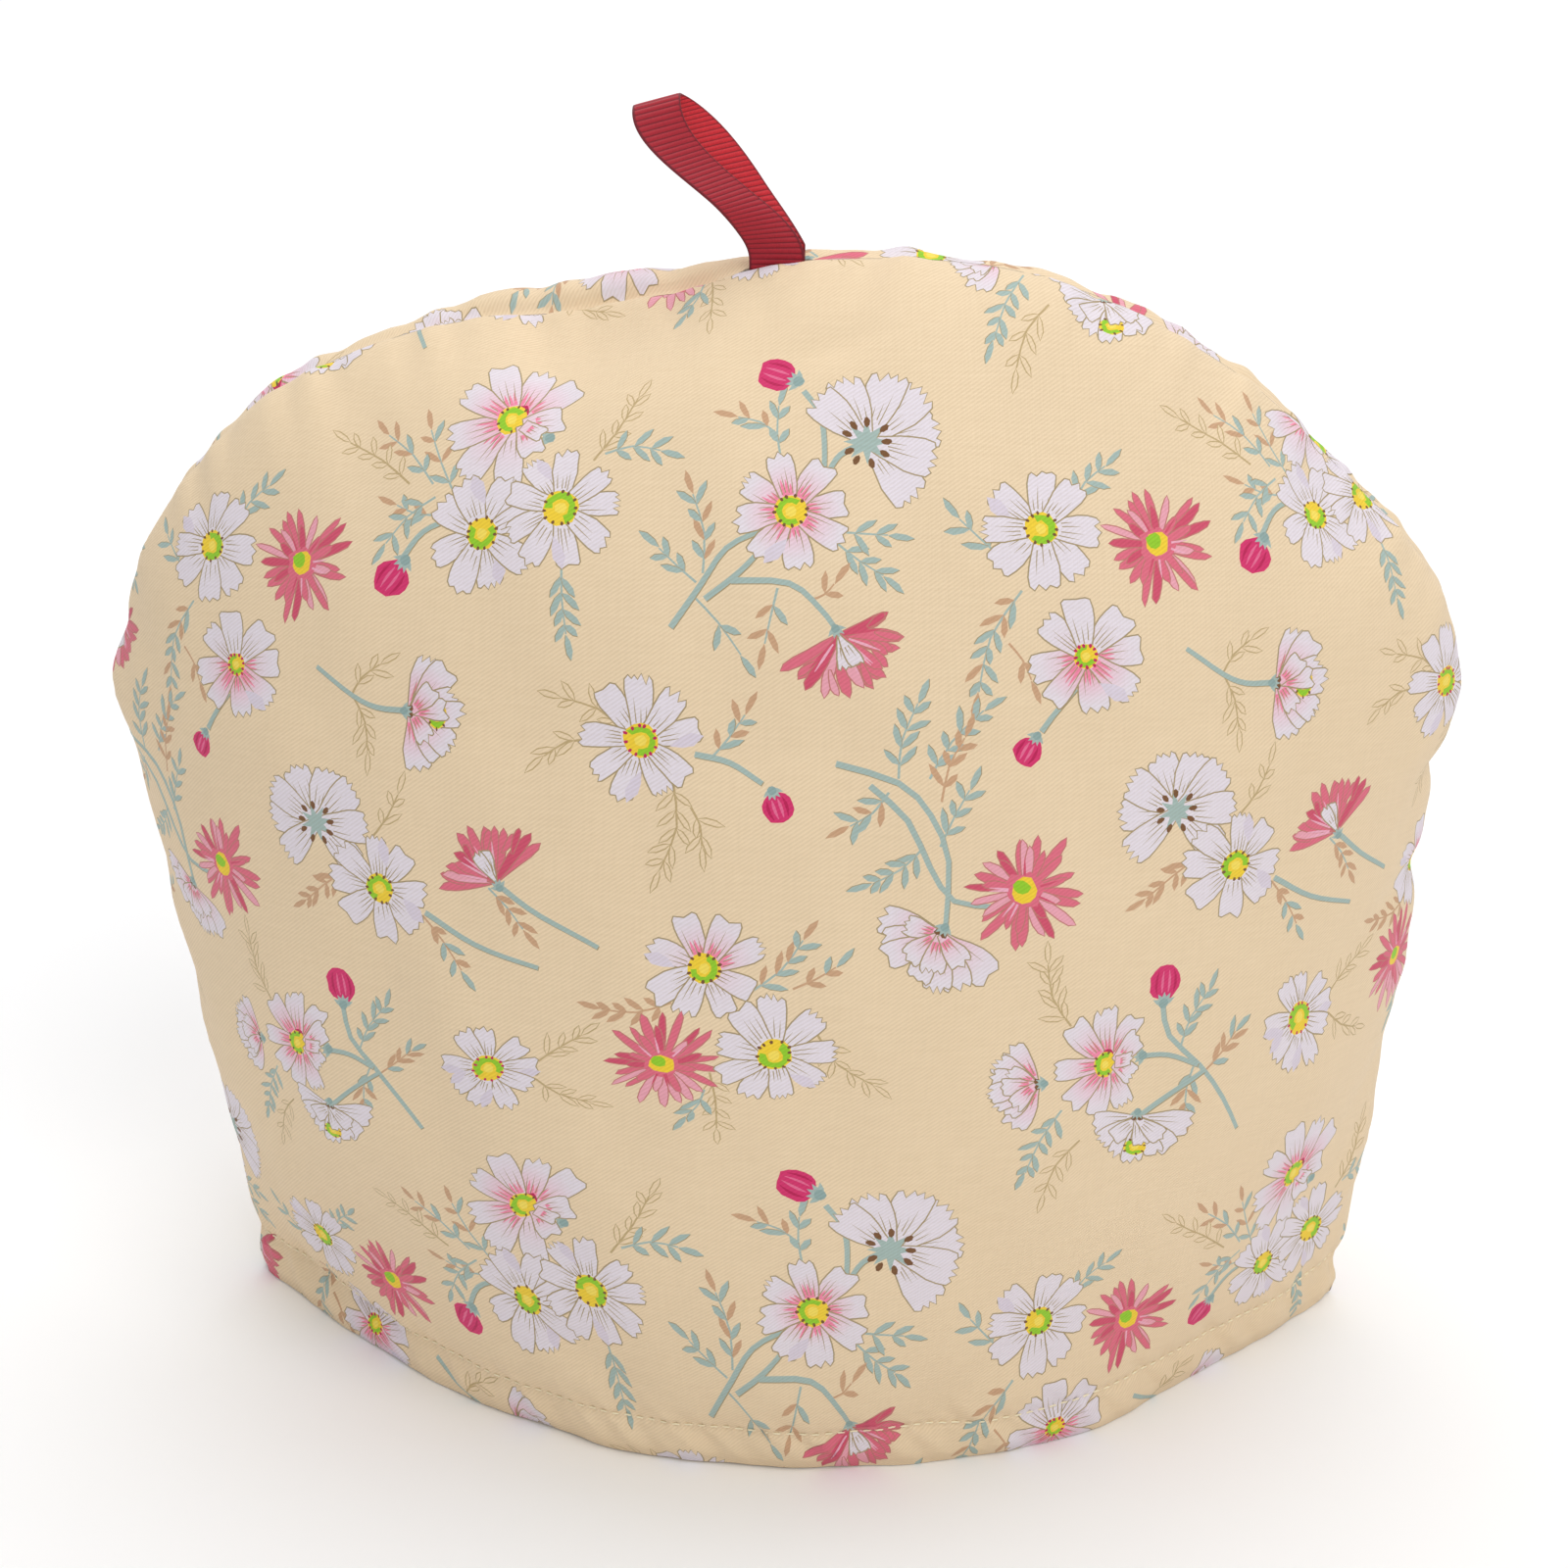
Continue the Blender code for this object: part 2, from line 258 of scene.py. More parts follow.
def outline_place(across, up):
    """Coons patch between the hem, both side seams and the top seam."""
    right = (across + 1) / 2
    left_x, left_z = side_point(up, True)
    right_x, right_z = side_point(up, False)
    top_x, top_z = dome_point(across)
    hem_x = -HEM_LEFT + right * (HEM_LEFT + HEM_RIGHT)
    corner_left = side_point(np.array(1.0), True)
    corner_right = side_point(np.array(1.0), False)
    x = (1 - up) * hem_x + up * top_x + (1 - right) * left_x + right * right_x
    z = up * top_z + (1 - right) * left_z + right * right_z
    x -= (1 - up) * ((1 - right) * -HEM_LEFT + right * HEM_RIGHT)
    x -= up * ((1 - right) * corner_left[0] + right * corner_right[0])
    z -= up * ((1 - right) * corner_left[1] + right * corner_right[1])
    return x, z


def stand_off(x, z):
    """How far the outer cloth stands off the seam plane."""
    dome = np.clip((z - SHOULDER_Z) / (TOP_Z - SHOULDER_Z), 0, None)
    sideways = x - APEX_SHIFT * dome**2
    reach = side_reach(z, sideways < 0)
    edge = np.clip((sideways / reach) ** 2 + dome**2, 0, 1)
    lens = LENS_HEM + (LENS_DOME - LENS_HEM) * smooth_step(np.clip(z / LENS_BLEND_Z, 0, 1))
    rise = np.clip(z / SHOULDER_Z * SWELL_TURNS, 0, 1)
    deep = DEPTH_HEM + (DEPTH_MIDDLE - DEPTH_HEM) * np.sin(math.pi * rise)
    return deep * (1 - edge) ** lens


def fold_depth(x, z, folds):
    """Depth of all the folds at a place, each a soft Gaussian trough."""
    pressed = 0 * x
    for at_x, at_z, length, width, depth, turn in folds:
        turn = math.radians(turn)
        along = (x - at_x) * math.cos(turn) + (z - at_z) * math.sin(turn)
        across = (z - at_z) * math.cos(turn) - (x - at_x) * math.sin(turn)
        pressed = pressed + depth * np.exp(-((along / length) ** 2) - (across / width) ** 2)
    return pressed


def smooth_cloth(side, u, v):
    """The outer face before its folds; u runs -1..1 across and v 0..1 up from the hem."""
    x, z = outline_place(np.sin(u * math.pi / 2), np.sin(v * math.pi / 2))
    return np.stack([x, side * stand_off(x, z), z], axis=-1)


def steps_at(surface, u, v, step):
    """Differences of a surface across u and up v."""
    across = surface(np.clip(u + step, -1, 1), v) - surface(np.clip(u - step, -1, 1), v)
    up = surface(u, np.clip(v + step, 0, 1)) - surface(u, np.clip(v - step, 0, 1))
    return across, up


def inward_of(side, surface, u, v, step):
    """Unit direction into the wadding."""
    across, up = steps_at(surface, u, v, step)
    return unit(np.cross(across, up) * side)


def folded_depth(side, point):
    """Depth of the listed folds; a panel's own ones fade out before the seam."""
    x, y, z = point[..., 0], point[..., 1], point[..., 2]
    own = 1 - bell(y, FOLD_SOFT)
    return fold_depth(x, z, SEAM_FOLDS) + own * fold_depth(x, z, FOLDS[side])


def ripples(way, up, waves):
    """Sum of slanted waves: length, slant, share and start of each."""
    total = 0 * way
    for length, slant, share, start in waves:
        total = total + share * np.cos(2 * math.pi * (way + slant * up) / length + start)
    return total


HEM_WAVES = ((0.0127, 0.6, 0.50, 0.3), (0.0083, 0.8, 0.34, 1.9), (0.0191, 0.4, 0.36, 4.0))
SEAM_WAVES = ((0.0170, 0.2, 0.50, 0.9), (0.0103, -0.3, 0.30, 2.2), (0.0293, 0.1, 0.45, 5.1))
SOFT_WAVES = ((0.061, 0.9, 0.5, 0.4), (0.043, -0.7, 0.4, 2.8), (0.027, 0.3, 0.25, 1.3))


def fine_depth(point, hem_way):
    """Depth that the stitching, the puckers and the wadding's softness add."""
    x, y, z = point[..., 0], point[..., 1], point[..., 2]
    above = z - HEM_VALLEY_Z
    pulled = STITCH_VALLEY + STITCH_PULL * np.cos(2 * math.pi * hem_way / STITCH_PITCH)
    pressed = pulled * bell(above, STITCH_VALLEY_SOFT)
    free = 1 - bell(y, SEAM_PUCKER_NEAR)
    below = bell(above + PUCKER_BELOW, PUCKER_SOFT) * (1 - STITCH_HOLD * bell(above, STITCH_HOLD_SOFT))
    pressed = pressed + free * PUCKER_DEEP * below * ripples(hem_way, z, HEM_WAVES)
    pressed = pressed + SAG_DEEP * bell(y, SAG_SOFT) * bell(x - SAG_X, SAG_WIDE) * (z > SHOULDER_Z)
    near_seam = free * bell(y, SEAM_PUCKER_FAR)
    round_seam = 0.9 * x - 0.6 * z * np.sign(x)
    pressed = pressed + near_seam * SEAM_PUCKER_DEEP * ripples(round_seam, 0.5 * z, SEAM_WAVES)
    return pressed + free * SOFTNESS * ripples(x * 1.1, z, SOFT_WAVES)


def parted_half_gap(x, z):
    """Half of the gap between the panels: hair-thin, but wide enough for the ribbon's two layers."""
    beside = np.clip((np.abs(x - RIBBON_X) - RIBBON_WIDTH / 2 - PARTED_SIDE) / PARTED_SOFT, 0, 1)
    parted = (1 - smooth_step(beside)) * (z > TOP_Z - SEAM_GROOVE - PARTED_DOWN)
    return HALF_GAP + (PARTED - HALF_GAP) * parted


def into_wadding(side, u, v):
    """Points of the smooth cloth and the way into the wadding, along the seam plane at the seam."""
    point = smooth_cloth(side, u, v)
    inward = inward_of(side, partial(smooth_cloth, side), u, v, WALL_STEP)
    inward[..., 1] *= 1 - bell(point[..., 1], SEAM_TURN)
    return point, inward / np.linalg.norm(inward, axis=-1, keepdims=True)


def kept(side, made, half_gap):
    """The points kept on their panel's side of the seam plane and above the table."""
    made[..., 1] = side * np.maximum(side * made[..., 1], half_gap)
    made[..., 2] = np.maximum(made[..., 2], 0)
    return made


def free_face(side, hem_way_of, u, v):
    """The printed face with its folds, seam groove, hem and fine relief."""
    point, inward = into_wadding(side, u, v)
    y, z = point[..., 1], point[..., 2]
    pressed = folded_depth(side, point) + SEAM_GROOVE * bell(y, SEAM_SOFT)
    pressed = pressed + HEM_VALLEY * bell(z - HEM_VALLEY_Z, HEM_VALLEY_SOFT)
    pressed = pressed + HEM_ROLL * bell(z, HEM_ROLL_SOFT)
    pressed = pressed + fine_depth(point, hem_way_of(u))
    return point + inward * pressed[..., None]


def outer_face(side, hem_way_of, u, v):
    """The printed face, kept on its own side of the seam and above the table."""
    made = free_face(side, hem_way_of, u, v)
    return kept(side, made, parted_half_gap(made[..., 0], made[..., 2]))


def inner_face(side, u, v):
    """The plain face, one wall in from the smooth outer one."""
    point, inward = into_wadding(side, u, v)
    return kept(side, point + inward * (WALL + folded_depth(side, point))[..., None], HALF_GAP)


# The panel laid flat: its first guess, the grids (columns, rows, rounds) and how folded cells are opened.
FLAT_START = (1.18, 1.1)
FLAT_GRIDS = ((12, 9, 1500), (24, 18, 250), (48, 36, 250), (96, 72, 250))
RELAX_PUSH = 1.6
OPEN_ROUNDS = 60
OPEN_STEPS = 40
OPEN_NEAR = 3


def relaxed(points, flat, rounds):
    """Cloth coordinates of a grid of points, moved until its lengths are kept as well as can be."""
    pairs = []
    for down, across in ((0, 1), (1, 0), (1, 1), (1, -1)):
        columns = {0: (slice(None), slice(None)), 1: (slice(0, -1), slice(1, None)),
                   -1: (slice(1, None), slice(0, -1))}[across]
        start = (slice(0, -down or None), columns[0])
        end = (slice(down, None), columns[1])
        pairs.append((start, end, np.linalg.norm(points[end] - points[start], axis=-1)))
    count = np.zeros(flat.shape[:2])
    for start, end, _ in pairs:
        count[start] += 1
        count[end] += 1
    for _ in range(rounds):
        move = np.zeros_like(flat)
        for start, end, rest in pairs:
            step = flat[end] - flat[start]
            length = np.maximum(np.linalg.norm(step, axis=-1), 1e-9)
            push = step * (0.5 * (1 - rest / length))[..., None]
            move[start] += push
            move[end] -= push
        flat = flat + move / count[..., None] * RELAX_PUSH
    return flat


def folded_cells(flat):
    """Which cells of a flat grid are turned over or squashed flat, by two of their corners."""
    across, up = np.diff(flat, axis=1), np.diff(flat, axis=0)
    low = across[:-1, :, 0] * up[:, :-1, 1] - across[:-1, :, 1] * up[:, :-1, 0]
    high = across[1:, :, 0] * up[:, 1:, 1] - across[1:, :, 1] * up[:, 1:, 0]
    return np.minimum(low, high) <= 0


def unfolded(points, flat):
    """The flat cloth with its folded cells eased open, mostly at the shoulders; its edge stays."""
    step = np.maximum(np.linalg.norm(np.diff(points, axis=0), axis=-1), 1e-7)[..., None]
    side_step = np.maximum(np.linalg.norm(np.diff(points, axis=1), axis=-1), 1e-7)[..., None]
    down, up = 1 / step[:-1, 1:-1], 1 / step[1:, 1:-1]
    left, right = 1 / side_step[1:-1, :-1], 1 / side_step[1:-1, 1:]
    for _ in range(OPEN_ROUNDS):
        cells = folded_cells(flat)
        if not cells.any():
            break
        near = np.zeros(flat.shape[:2], dtype=bool)
        for i, j in np.argwhere(cells):
            rows = slice(max(i - OPEN_NEAR, 0), i + OPEN_NEAR + 2)
            near[rows, max(j - OPEN_NEAR, 0):j + OPEN_NEAR + 2] = True
        near = near[1:-1, 1:-1, None]
        for _ in range(OPEN_STEPS):
            middle = down * flat[:-2, 1:-1] + up * flat[2:, 1:-1]
            middle = middle + left * flat[1:-1, :-2] + right * flat[1:-1, 2:]
            middle /= down + up + left + right
            flat[1:-1, 1:-1] = np.where(near, middle, flat[1:-1, 1:-1])
    return flat


def flat_pattern():
    """The panel laid flat: u, v and cloth coordinates in metres of a grid, as seen from the front."""
    flat = None
    for columns, rows, rounds in FLAT_GRIDS:
        u, v = np.meshgrid(np.linspace(-1, 1, columns + 1), np.linspace(0, 1, rows + 1))
        points = smooth_cloth(FRONT, u, v)
        if flat is None:
            fine = points[..., [0, 2]] * FLAT_START
        else:
            fine = np.zeros((rows + 1, columns + 1, 2))
            fine[::2, ::2] = flat
            fine[1::2, ::2] = (flat[1:] + flat[:-1]) / 2
            fine[:, 1::2] = (fine[:, 2::2] + fine[:, :-2:2]) / 2
        flat = relaxed(points, fine, rounds)
    return u, v, unfolded(points, flat)


# Inks of the print, as 8-bit sRGB.
INKS = {
    "ground": (238, 215, 181),
    "petal": (232, 224, 233),
    "petal_shade": (222, 212, 226),
    "line": (170, 152, 116),
    "pale_line": (196, 172, 128),
    "flush": (244, 138, 170),
    "soft_flush": (242, 178, 200),
    "coral": (226, 112, 134),
    "deep_coral": (212, 84, 112),
    "pale_coral": (238, 168, 184),
    "coral_line": (196, 124, 118),
    "bud": (216, 52, 112),
    "deep_bud": (190, 30, 88),
    "pale_bud": (232, 110, 152),
    "blue": (168, 189, 184),
    "deep_blue": (146, 172, 170),
    "tan": (206, 166, 132),
    "disc": (246, 212, 58),
    "pale_disc": (250, 226, 96),
    "green": (150, 208, 46),
    "brown": (124, 86, 54),
    "magenta": (196, 38, 92),
}

# Lines round the shapes in millimetres: how far out of the shape's edge, and how far in.
LINE_OUT = 0.10
LINE_IN = 0.29 - LINE_OUT
CORAL_LINE_IN = 0.14
THIN_LINE_OUT = 0.08
CURL_LINE_IN = 0.29 - THIN_LINE_OUT
LEAF_LINE_IN = 0.19
# inset() moves each point by the gap times this.
INSET_GAIN = 1.15


def spun(points, turn):
    """The points turned by so many degrees."""
    turn = math.radians(turn)
    x, y = points[:, 0], points[:, 1]
    return np.stack([x * math.cos(turn) - y * math.sin(turn),
                     x * math.sin(turn) + y * math.cos(turn)], axis=1)


def moved(shapes, at, turn=0.0, squash=1.0):
    """The shapes squashed across x, turned by so many degrees, then moved."""
    done = []
    for shape in shapes:
        edge = spun(shape.edge * (squash, 1.0), turn) + at
        glow = shape.glow
        if glow:
            middle = spun(np.array([glow.at]) * (squash, 1.0), turn)[0] + at
            glow = glow._replace(at=tuple(middle))
        done.append(Shape(edge, shape.ink, glow))
    return done


def inset(points, gap):
    """The closed outline drawn in by gap, or out where gap is negative."""
    before = points - np.roll(points, 1, axis=0)
    after = np.roll(points, -1, axis=0) - points
    normals = []
    for step in (before, after):
        step = unit(step, 1e-9)
        normals.append(np.stack([-step[:, 1], step[:, 0]], axis=1))
    both = normals[0] + normals[1]
    size = np.maximum(np.linalg.norm(both, axis=1, keepdims=True), 0.75)
    return points + both / size * gap * INSET_GAIN


def outlined(edge, out, within, line, ink, glow=None):
    """A shape with a line round it, which reaches so far out of its edge and so far in."""
    return [Shape(inset(edge, -out), line, None), Shape(inset(edge, within), ink, glow)]


def stroke(points, widths):
    """A brush stroke along the points, with a width at each."""
    points = np.asarray(points, dtype=float)
    way = unit(np.gradient(points, axis=0), 1e-9)
    aside = np.stack([-way[:, 1], way[:, 0]], axis=1)
    half = np.broadcast_to(np.asarray(widths, dtype=float), len(points))[:, None] / 2
    return np.concatenate([points - aside * half, (points + aside * half)[::-1]])


def curve(points, count=10):
    """A smooth line through a few points."""
    points = np.asarray(points, dtype=float)
    if len(points) == 2:
        t = np.linspace(0, 1, count)[:, None]
        return points[0] * (1 - t) + points[1] * t
    ends = np.concatenate([[2 * points[0] - points[1]], points, [2 * points[-1] - points[-2]]])
    line = []
    steps = max(2, round(count / (len(points) - 1)))
    for a, b, c, d in zip(ends, ends[1:], ends[2:], ends[3:]):
        for t in np.arange(steps) / steps:
            line.append(b + t * (c - a) / 2 + t**2 * (a - 2.5 * b + 2 * c - d / 2)
                        + t**3 * (1.5 * (b - c) + (d - a) / 2))
    line.append(points[-1])
    return np.array(line)


def blob(rng, radius, count=12, rough=0.06, stretch=1.0):
    """An uneven round shape."""
    turn = np.arange(count) * 2 * math.pi / count
    reach = radius * (1 + rng.uniform(-rough, rough, count))
    return np.stack([np.cos(turn) * reach * stretch, np.sin(turn) * reach], axis=1)


PETAL_ALONG = np.array([0.0, 0.22, 0.42, 0.60, 0.76, 0.91])
PETAL_WIDE = np.array([0.0, 0.34, 0.68, 0.92, 1.0, 0.93])


def petal_edge(rng, long, wide, foot, teeth, bite, lean):
    """A cosmos petal along +x, widest past its middle, with a toothed tip."""
    half = foot + (wide - foot) * PETAL_WIDE
    jitter = rng.uniform(-0.14, 0.14, (2, len(half)))
    up = np.stack([PETAL_ALONG * long, half + jitter[0]], axis=1)
    down = np.stack([PETAL_ALONG * long, -half + jitter[1]], axis=1)
    across = np.linspace(0.70, -0.70, 2 * teeth - 1) + rng.uniform(-0.06, 0.06, 2 * teeth - 1)
    reach = long * (1.01 - 0.09 * across**2) + rng.uniform(-0.4, 0.4, len(across))
    reach[1::2] -= bite * long * rng.uniform(0.6, 1.3, teeth - 1)
    tip = np.stack([reach, across * wide], axis=1)
    edge = np.concatenate([down, tip[::-1], up[::-1]])
    edge[:, 1] += lean * long * (edge[:, 0] / long) ** 2
    return edge


def petal(rng, long, wide, foot=0.8, flush=0.0, veins=3, start=0.28, teeth=None, lean=None, curl=False):
    """Shapes of one petal along +x: outline, face, blush strokes and veins."""
    teeth = teeth or int(rng.choice([2, 3, 3, 4]))
    lean = rng.uniform(-0.10, 0.10) if lean is None else lean
    edge = petal_edge(rng, long, wide, foot, teeth, 0.10, lean)
    glow = None
    if flush > 0.05:
        glow = Glow("soft_flush", (0.0, 0.0), 0.28 * long, 0.82 * long, min(1.0, flush))
    shapes = outlined(edge, LINE_OUT, LINE_IN, "line", "petal", glow)

    def bend(x):
        return lean * long * (x / long) ** 2

    if flush > 0.3:
        for side in (-0.6, -0.1, 0.45):
            far = long * rng.uniform(0.42, 0.40 + 0.25 * flush)
            x = np.linspace(start * long, far, 3)
            y = side * wide * (0.35 + 0.5 * x / long) + bend(x)
            shapes.append(Shape(brush(x, y, 0.9), "flush", None))
    for k in range(veins):
        side = (k + 0.5) / veins * 2 - 1 + rng.uniform(-0.12, 0.12)
        x = np.linspace(long * (start + rng.uniform(0.0, 0.08)), long * rng.uniform(0.48, 0.76), 3)
        y = side * 0.70 * (foot + (wide - foot) * np.interp(x / long, PETAL_ALONG, PETAL_WIDE)) + bend(x)
        shapes.append(Shape(brush(x, y, 0.25), "line", None))
    if curl:
        side = rng.choice([-1, 1])
        x = np.linspace(0.45 * long, 0.97 * long, 4)
        y = side * wide * np.array([0.80, 0.40, 0.24, 0.62]) + bend(x)
        y_out = side * wide * np.array([0.80, 1.04, 1.10, 0.70]) + bend(x)
        lobe = np.concatenate([np.stack([x, y], 1), np.stack([x[1:-1], y_out[1:-1]], 1)[::-1]])
        lobe = lobe[::-1] if side > 0 else lobe
        shapes += outlined(lobe, THIN_LINE_OUT, CURL_LINE_IN, "line", "petal_shade")
    return shapes


def brush(x, y, width):
    """A stroke that starts full and runs out to a point."""
    return stroke(np.stack([x, y], 1), [width, width * 0.8, width * 0.1])


def disc(rng, radius, dots="brown", count=12, green=0.0):
    """A flower's yellow middle with its green patch and ring of dots."""
    shapes = [Shape(blob(rng, radius, 14), "disc", None)]
    turn = np.radians(np.linspace(green + 40, green + 290, 9))
    outer, inner = radius * rng.uniform(0.80, 0.98, 9), radius * rng.uniform(0.42, 0.58, 9)
    way = np.stack([np.cos(turn), np.sin(turn)], axis=1)
    shapes.append(Shape(np.concatenate([way * outer[:, None], (way * inner[:, None])[::-1]]), "green", None))
    shapes.append(Shape(blob(rng, radius * 0.34, 7, 0.15), "pale_disc", None))
    for k in range(count):
        at = (k + rng.uniform(-0.25, 0.25)) * 360 / count
        turned = math.radians(at)
        place = np.array([math.cos(turned), math.sin(turned)]) * radius * rng.uniform(0.82, 1.0)
        shapes += moved([Shape(blob(rng, 0.40, 5, 0.2, 1.35), dots, None)], place, at)
    return shapes


def blush_at(turn, flush, side):
    """How pink a petal at this turn is, where one side may be pinker."""
    if side is None:
        return flush
    return flush * (0.5 + 0.5 * math.cos(math.radians(turn - side))) ** 1.3


def cosmos(rng, radius, petals=8, flush=0.0, side=None, dots="brown", middle=0.27, curls=1):
    """A cosmos seen from the front."""
    shapes = []
    curled = set(rng.choice(petals, curls, replace=False)) if curls else set()
    for k in rng.permutation(petals):
        turn = (k + rng.uniform(-0.13, 0.13)) * 360 / petals
        long = radius * rng.uniform(0.90, 1.03)
        wide = long * rng.uniform(0.215, 0.27) * 8 / petals
        blush = blush_at(turn, flush, side)
        start = middle * 0.98
        shapes += moved(petal(rng, long, wide, 0.095 * radius, blush, int(rng.integers(3, 5)), start,
                              curl=k in curled), (0, 0), turn)
    return shapes + disc(rng, radius * middle, dots, 12, rng.uniform(0, 360))


def coral_petal(rng, long, wide, ink):
    """A thin pointed petal along +x with its outline."""
    along = np.array([0.0, 0.25, 0.5, 0.72, 0.9, 1.0])
    half = wide * np.array([0.35, 0.7, 0.95, 1.0, 0.72, 0.20])
    lean = rng.uniform(-0.16, 0.16)
    x = along * long
    up = np.stack([x, half + rng.uniform(-0.08, 0.08, 6)], 1)
    down = np.stack([x, -half + rng.uniform(-0.08, 0.08, 6)], 1)[:-1]
    edge = np.concatenate([down, up[::-1]])
    edge[:, 1] += lean * long * (edge[:, 0] / long) ** 2
    return outlined(edge, LINE_OUT, CORAL_LINE_IN, "coral_line", ink)


def coral_daisy(rng, radius, petals=20, middle=0.21):
    """A coral daisy from the front: two rings of thin petals."""
    shapes = []
    for ring, count, far in ((0, petals, 1.0), (1, petals // 2, 0.72)):
        for k in rng.permutation(count):
            turn = (k + rng.uniform(-0.3, 0.3) + ring * 0.5) * 360 / count
            ink = rng.choice(["coral", "coral", "coral", "pale_coral", "deep_coral"])
            long = radius * far * rng.uniform(0.80, 1.08)
            shapes += moved(coral_petal(rng, long, radius * rng.uniform(0.058, 0.085), ink), (0, 0), turn)
    shapes.append(Shape(blob(rng, radius * 0.30, 14, 0.16), "coral", None))
    for k in range(7):
        turn = rng.uniform(0, 360)
        x = np.array([0.25, 0.4, 0.55]) * radius
        mark = stroke(np.stack([x, 0 * x], 1), [0.5, 0.45, 0.1])
        shapes += moved([Shape(mark, rng.choice(["deep_coral", "soft_flush"]), None)], (0, 0), turn)
    shapes.append(Shape(blob(rng, radius * middle, 11, 0.12), "disc", None))
    shapes += moved([Shape(blob(rng, radius * middle * 0.62, 9, 0.2), "green", None)],
                    (-0.25 * radius * middle, 0.25 * radius * middle))
    return shapes


CALYX_SPIKE = np.array([(0, -0.22), (0.55, -0.2), (1.05, 0), (0.55, 0.2), (0, 0.22)])
CALYX_TURNS = (-62, -30, 0, 30, 62)
BAND_EDGE = np.array([(-0.55, -0.8), (0.05, -0.95), (0.25, -0.45), (-0.02, 0), (0.25, 0.45),
                      (0.05, 0.95), (-0.55, 0.8), (-0.4, 0)])


def calyx(rng, size):
    """The blue cup behind a side-on flower, opening along +x."""
    spikes = []
    for turn in CALYX_TURNS:
        spikes += moved([Shape(CALYX_SPIKE * size, "blue", None)], (-0.1 * size, 0), turn)
    return spikes + [Shape(blob(rng, size * 0.42, 9), "deep_blue", None)]


def band(size):
    """The brown notched band at the foot of a side-on flower."""
    return [Shape(BAND_EDGE * size * 0.62, "brown", None)]


def coral_side(rng, radius, spread=85, petals=13):
    """A coral daisy from the side: a fan of thin petals along +x, with a few pale ones in front."""
    shapes = []
    for k in rng.permutation(petals):
        turn = -spread + 2 * spread * (k + 0.5) / petals + rng.uniform(-4, 4)
        long = radius * rng.uniform(0.78, 1.05) * (1 - 0.10 * math.cos(math.radians(turn)))
        ink = rng.choice(["coral", "coral", "deep_coral", "pale_coral"])
        shapes += moved(coral_petal(rng, long, radius * rng.uniform(0.075, 0.10), ink), (0, 0), turn)
        if rng.random() < 0.5:
            fork = coral_petal(rng, long * 0.42, radius * 0.055, ink)
            fork = moved(fork, (long * 0.55, 0), rng.choice([-24, 24]))
            shapes += moved(fork, (0, 0), turn)
    for k in range(7):
        turn = rng.uniform(-spread, spread) * 0.9
        x = np.array([0.15, 0.4, 0.62]) * radius
        mark = stroke(np.stack([x, 0 * x], 1), [0.4, 0.6, 0.15])
        shapes += moved([Shape(mark, rng.choice(["soft_flush", "deep_coral"]), None)], (0, 0), turn)
    for turn in (-12, 8):
        front = petal(rng, radius * 0.52, radius * 0.11, 0.4, 0.0, 2, 0.3, 3, 0.0)
        shapes += moved(front, (0, 0), turn + rng.uniform(-4, 4))
    return shapes + moved(calyx(rng, 2.3), (-1.6, 0))


def side_cosmos(rng, radius, spread=78, petals=7, flush=0.9, gold=0.42, fronts=3):
    """A cosmos from the side: calyx at the start, petals fanned along +x, the middle half hidden."""
    shapes = []
    turns = np.linspace(-spread, spread, petals) + rng.uniform(-4, 4, petals)
    for turn in sorted(turns, key=lambda t: -abs(t)):
        long = radius * rng.uniform(0.86, 1.0) * (1.0 - 0.16 * math.cos(math.radians(turn)))
        shapes += moved(petal(rng, long, long * 0.25, 0.9, flush, 3, 0.18), (0, 0), turn)
    if gold:
        middle = disc(rng, radius * 0.21, "brown", 7, 120)
        shapes += moved(middle, (radius * gold, 0), 0, 0.7)
    for k in range(fronts):
        turn = (k - (fronts - 1) / 2) * spread * 0.62 + rng.uniform(-5, 5)
        if gold and abs(turn) < 12:
            turn += 16
        long = radius * rng.uniform(0.50, 0.60)
        shapes += moved(petal(rng, long, long * 0.30, 0.8, flush, 3, 0.2), (0, 0), turn)
    return shapes + moved(band(2.7), (0.1, 0)) + moved(calyx(rng, 2.4), (-1.9, 0))


# A half-turned cosmos: turns of its far petals, and turns and shares of the length of its near ones.
HALF_TURNS = (-118, -82, -44, -6, 40, 74, 112)
NEAR_TURNS = ((-140, 0.58), (138, 0.50), (176, 0.34))


def half_cosmos(rng, radius, flush=0.8, away=0.44):
    """A cosmos turned half away from +x, by its middle: near petals short, the calyx behind them."""
    shapes = moved(band(2.4), (-radius * away - 1.2, 0), 180)
    shapes += moved(calyx(rng, 2.9), (-radius * away - 2.2, 0))
    for turn in sorted(HALF_TURNS, key=lambda t: -abs(t)):
        long = radius * rng.uniform(0.90, 1.04)
        blush = flush * rng.uniform(0.35, 1.0)
        made = petal(rng, long, long * 0.215, 1.2, blush, 3, 0.24)
        shapes += moved(made, (0, 0), turn + rng.uniform(-5, 5))
    shapes += moved([Shape(blob(rng, radius * 0.10, 8, 0.15), "magenta", None)], (0.0, -radius * 0.17))
    shapes += moved(disc(rng, radius * 0.23, "brown", 9, 200), (radius * 0.05, 0), 0, 0.85)
    for turn, share in NEAR_TURNS:
        long = radius * share
        near = petal(rng, long, long * 0.36, 1.6, flush * rng.uniform(0.2, 0.7), 3, 0.3)
        shapes += moved(near, (-radius * 0.13, 0.0), turn + rng.uniform(-5, 5))
    return shapes


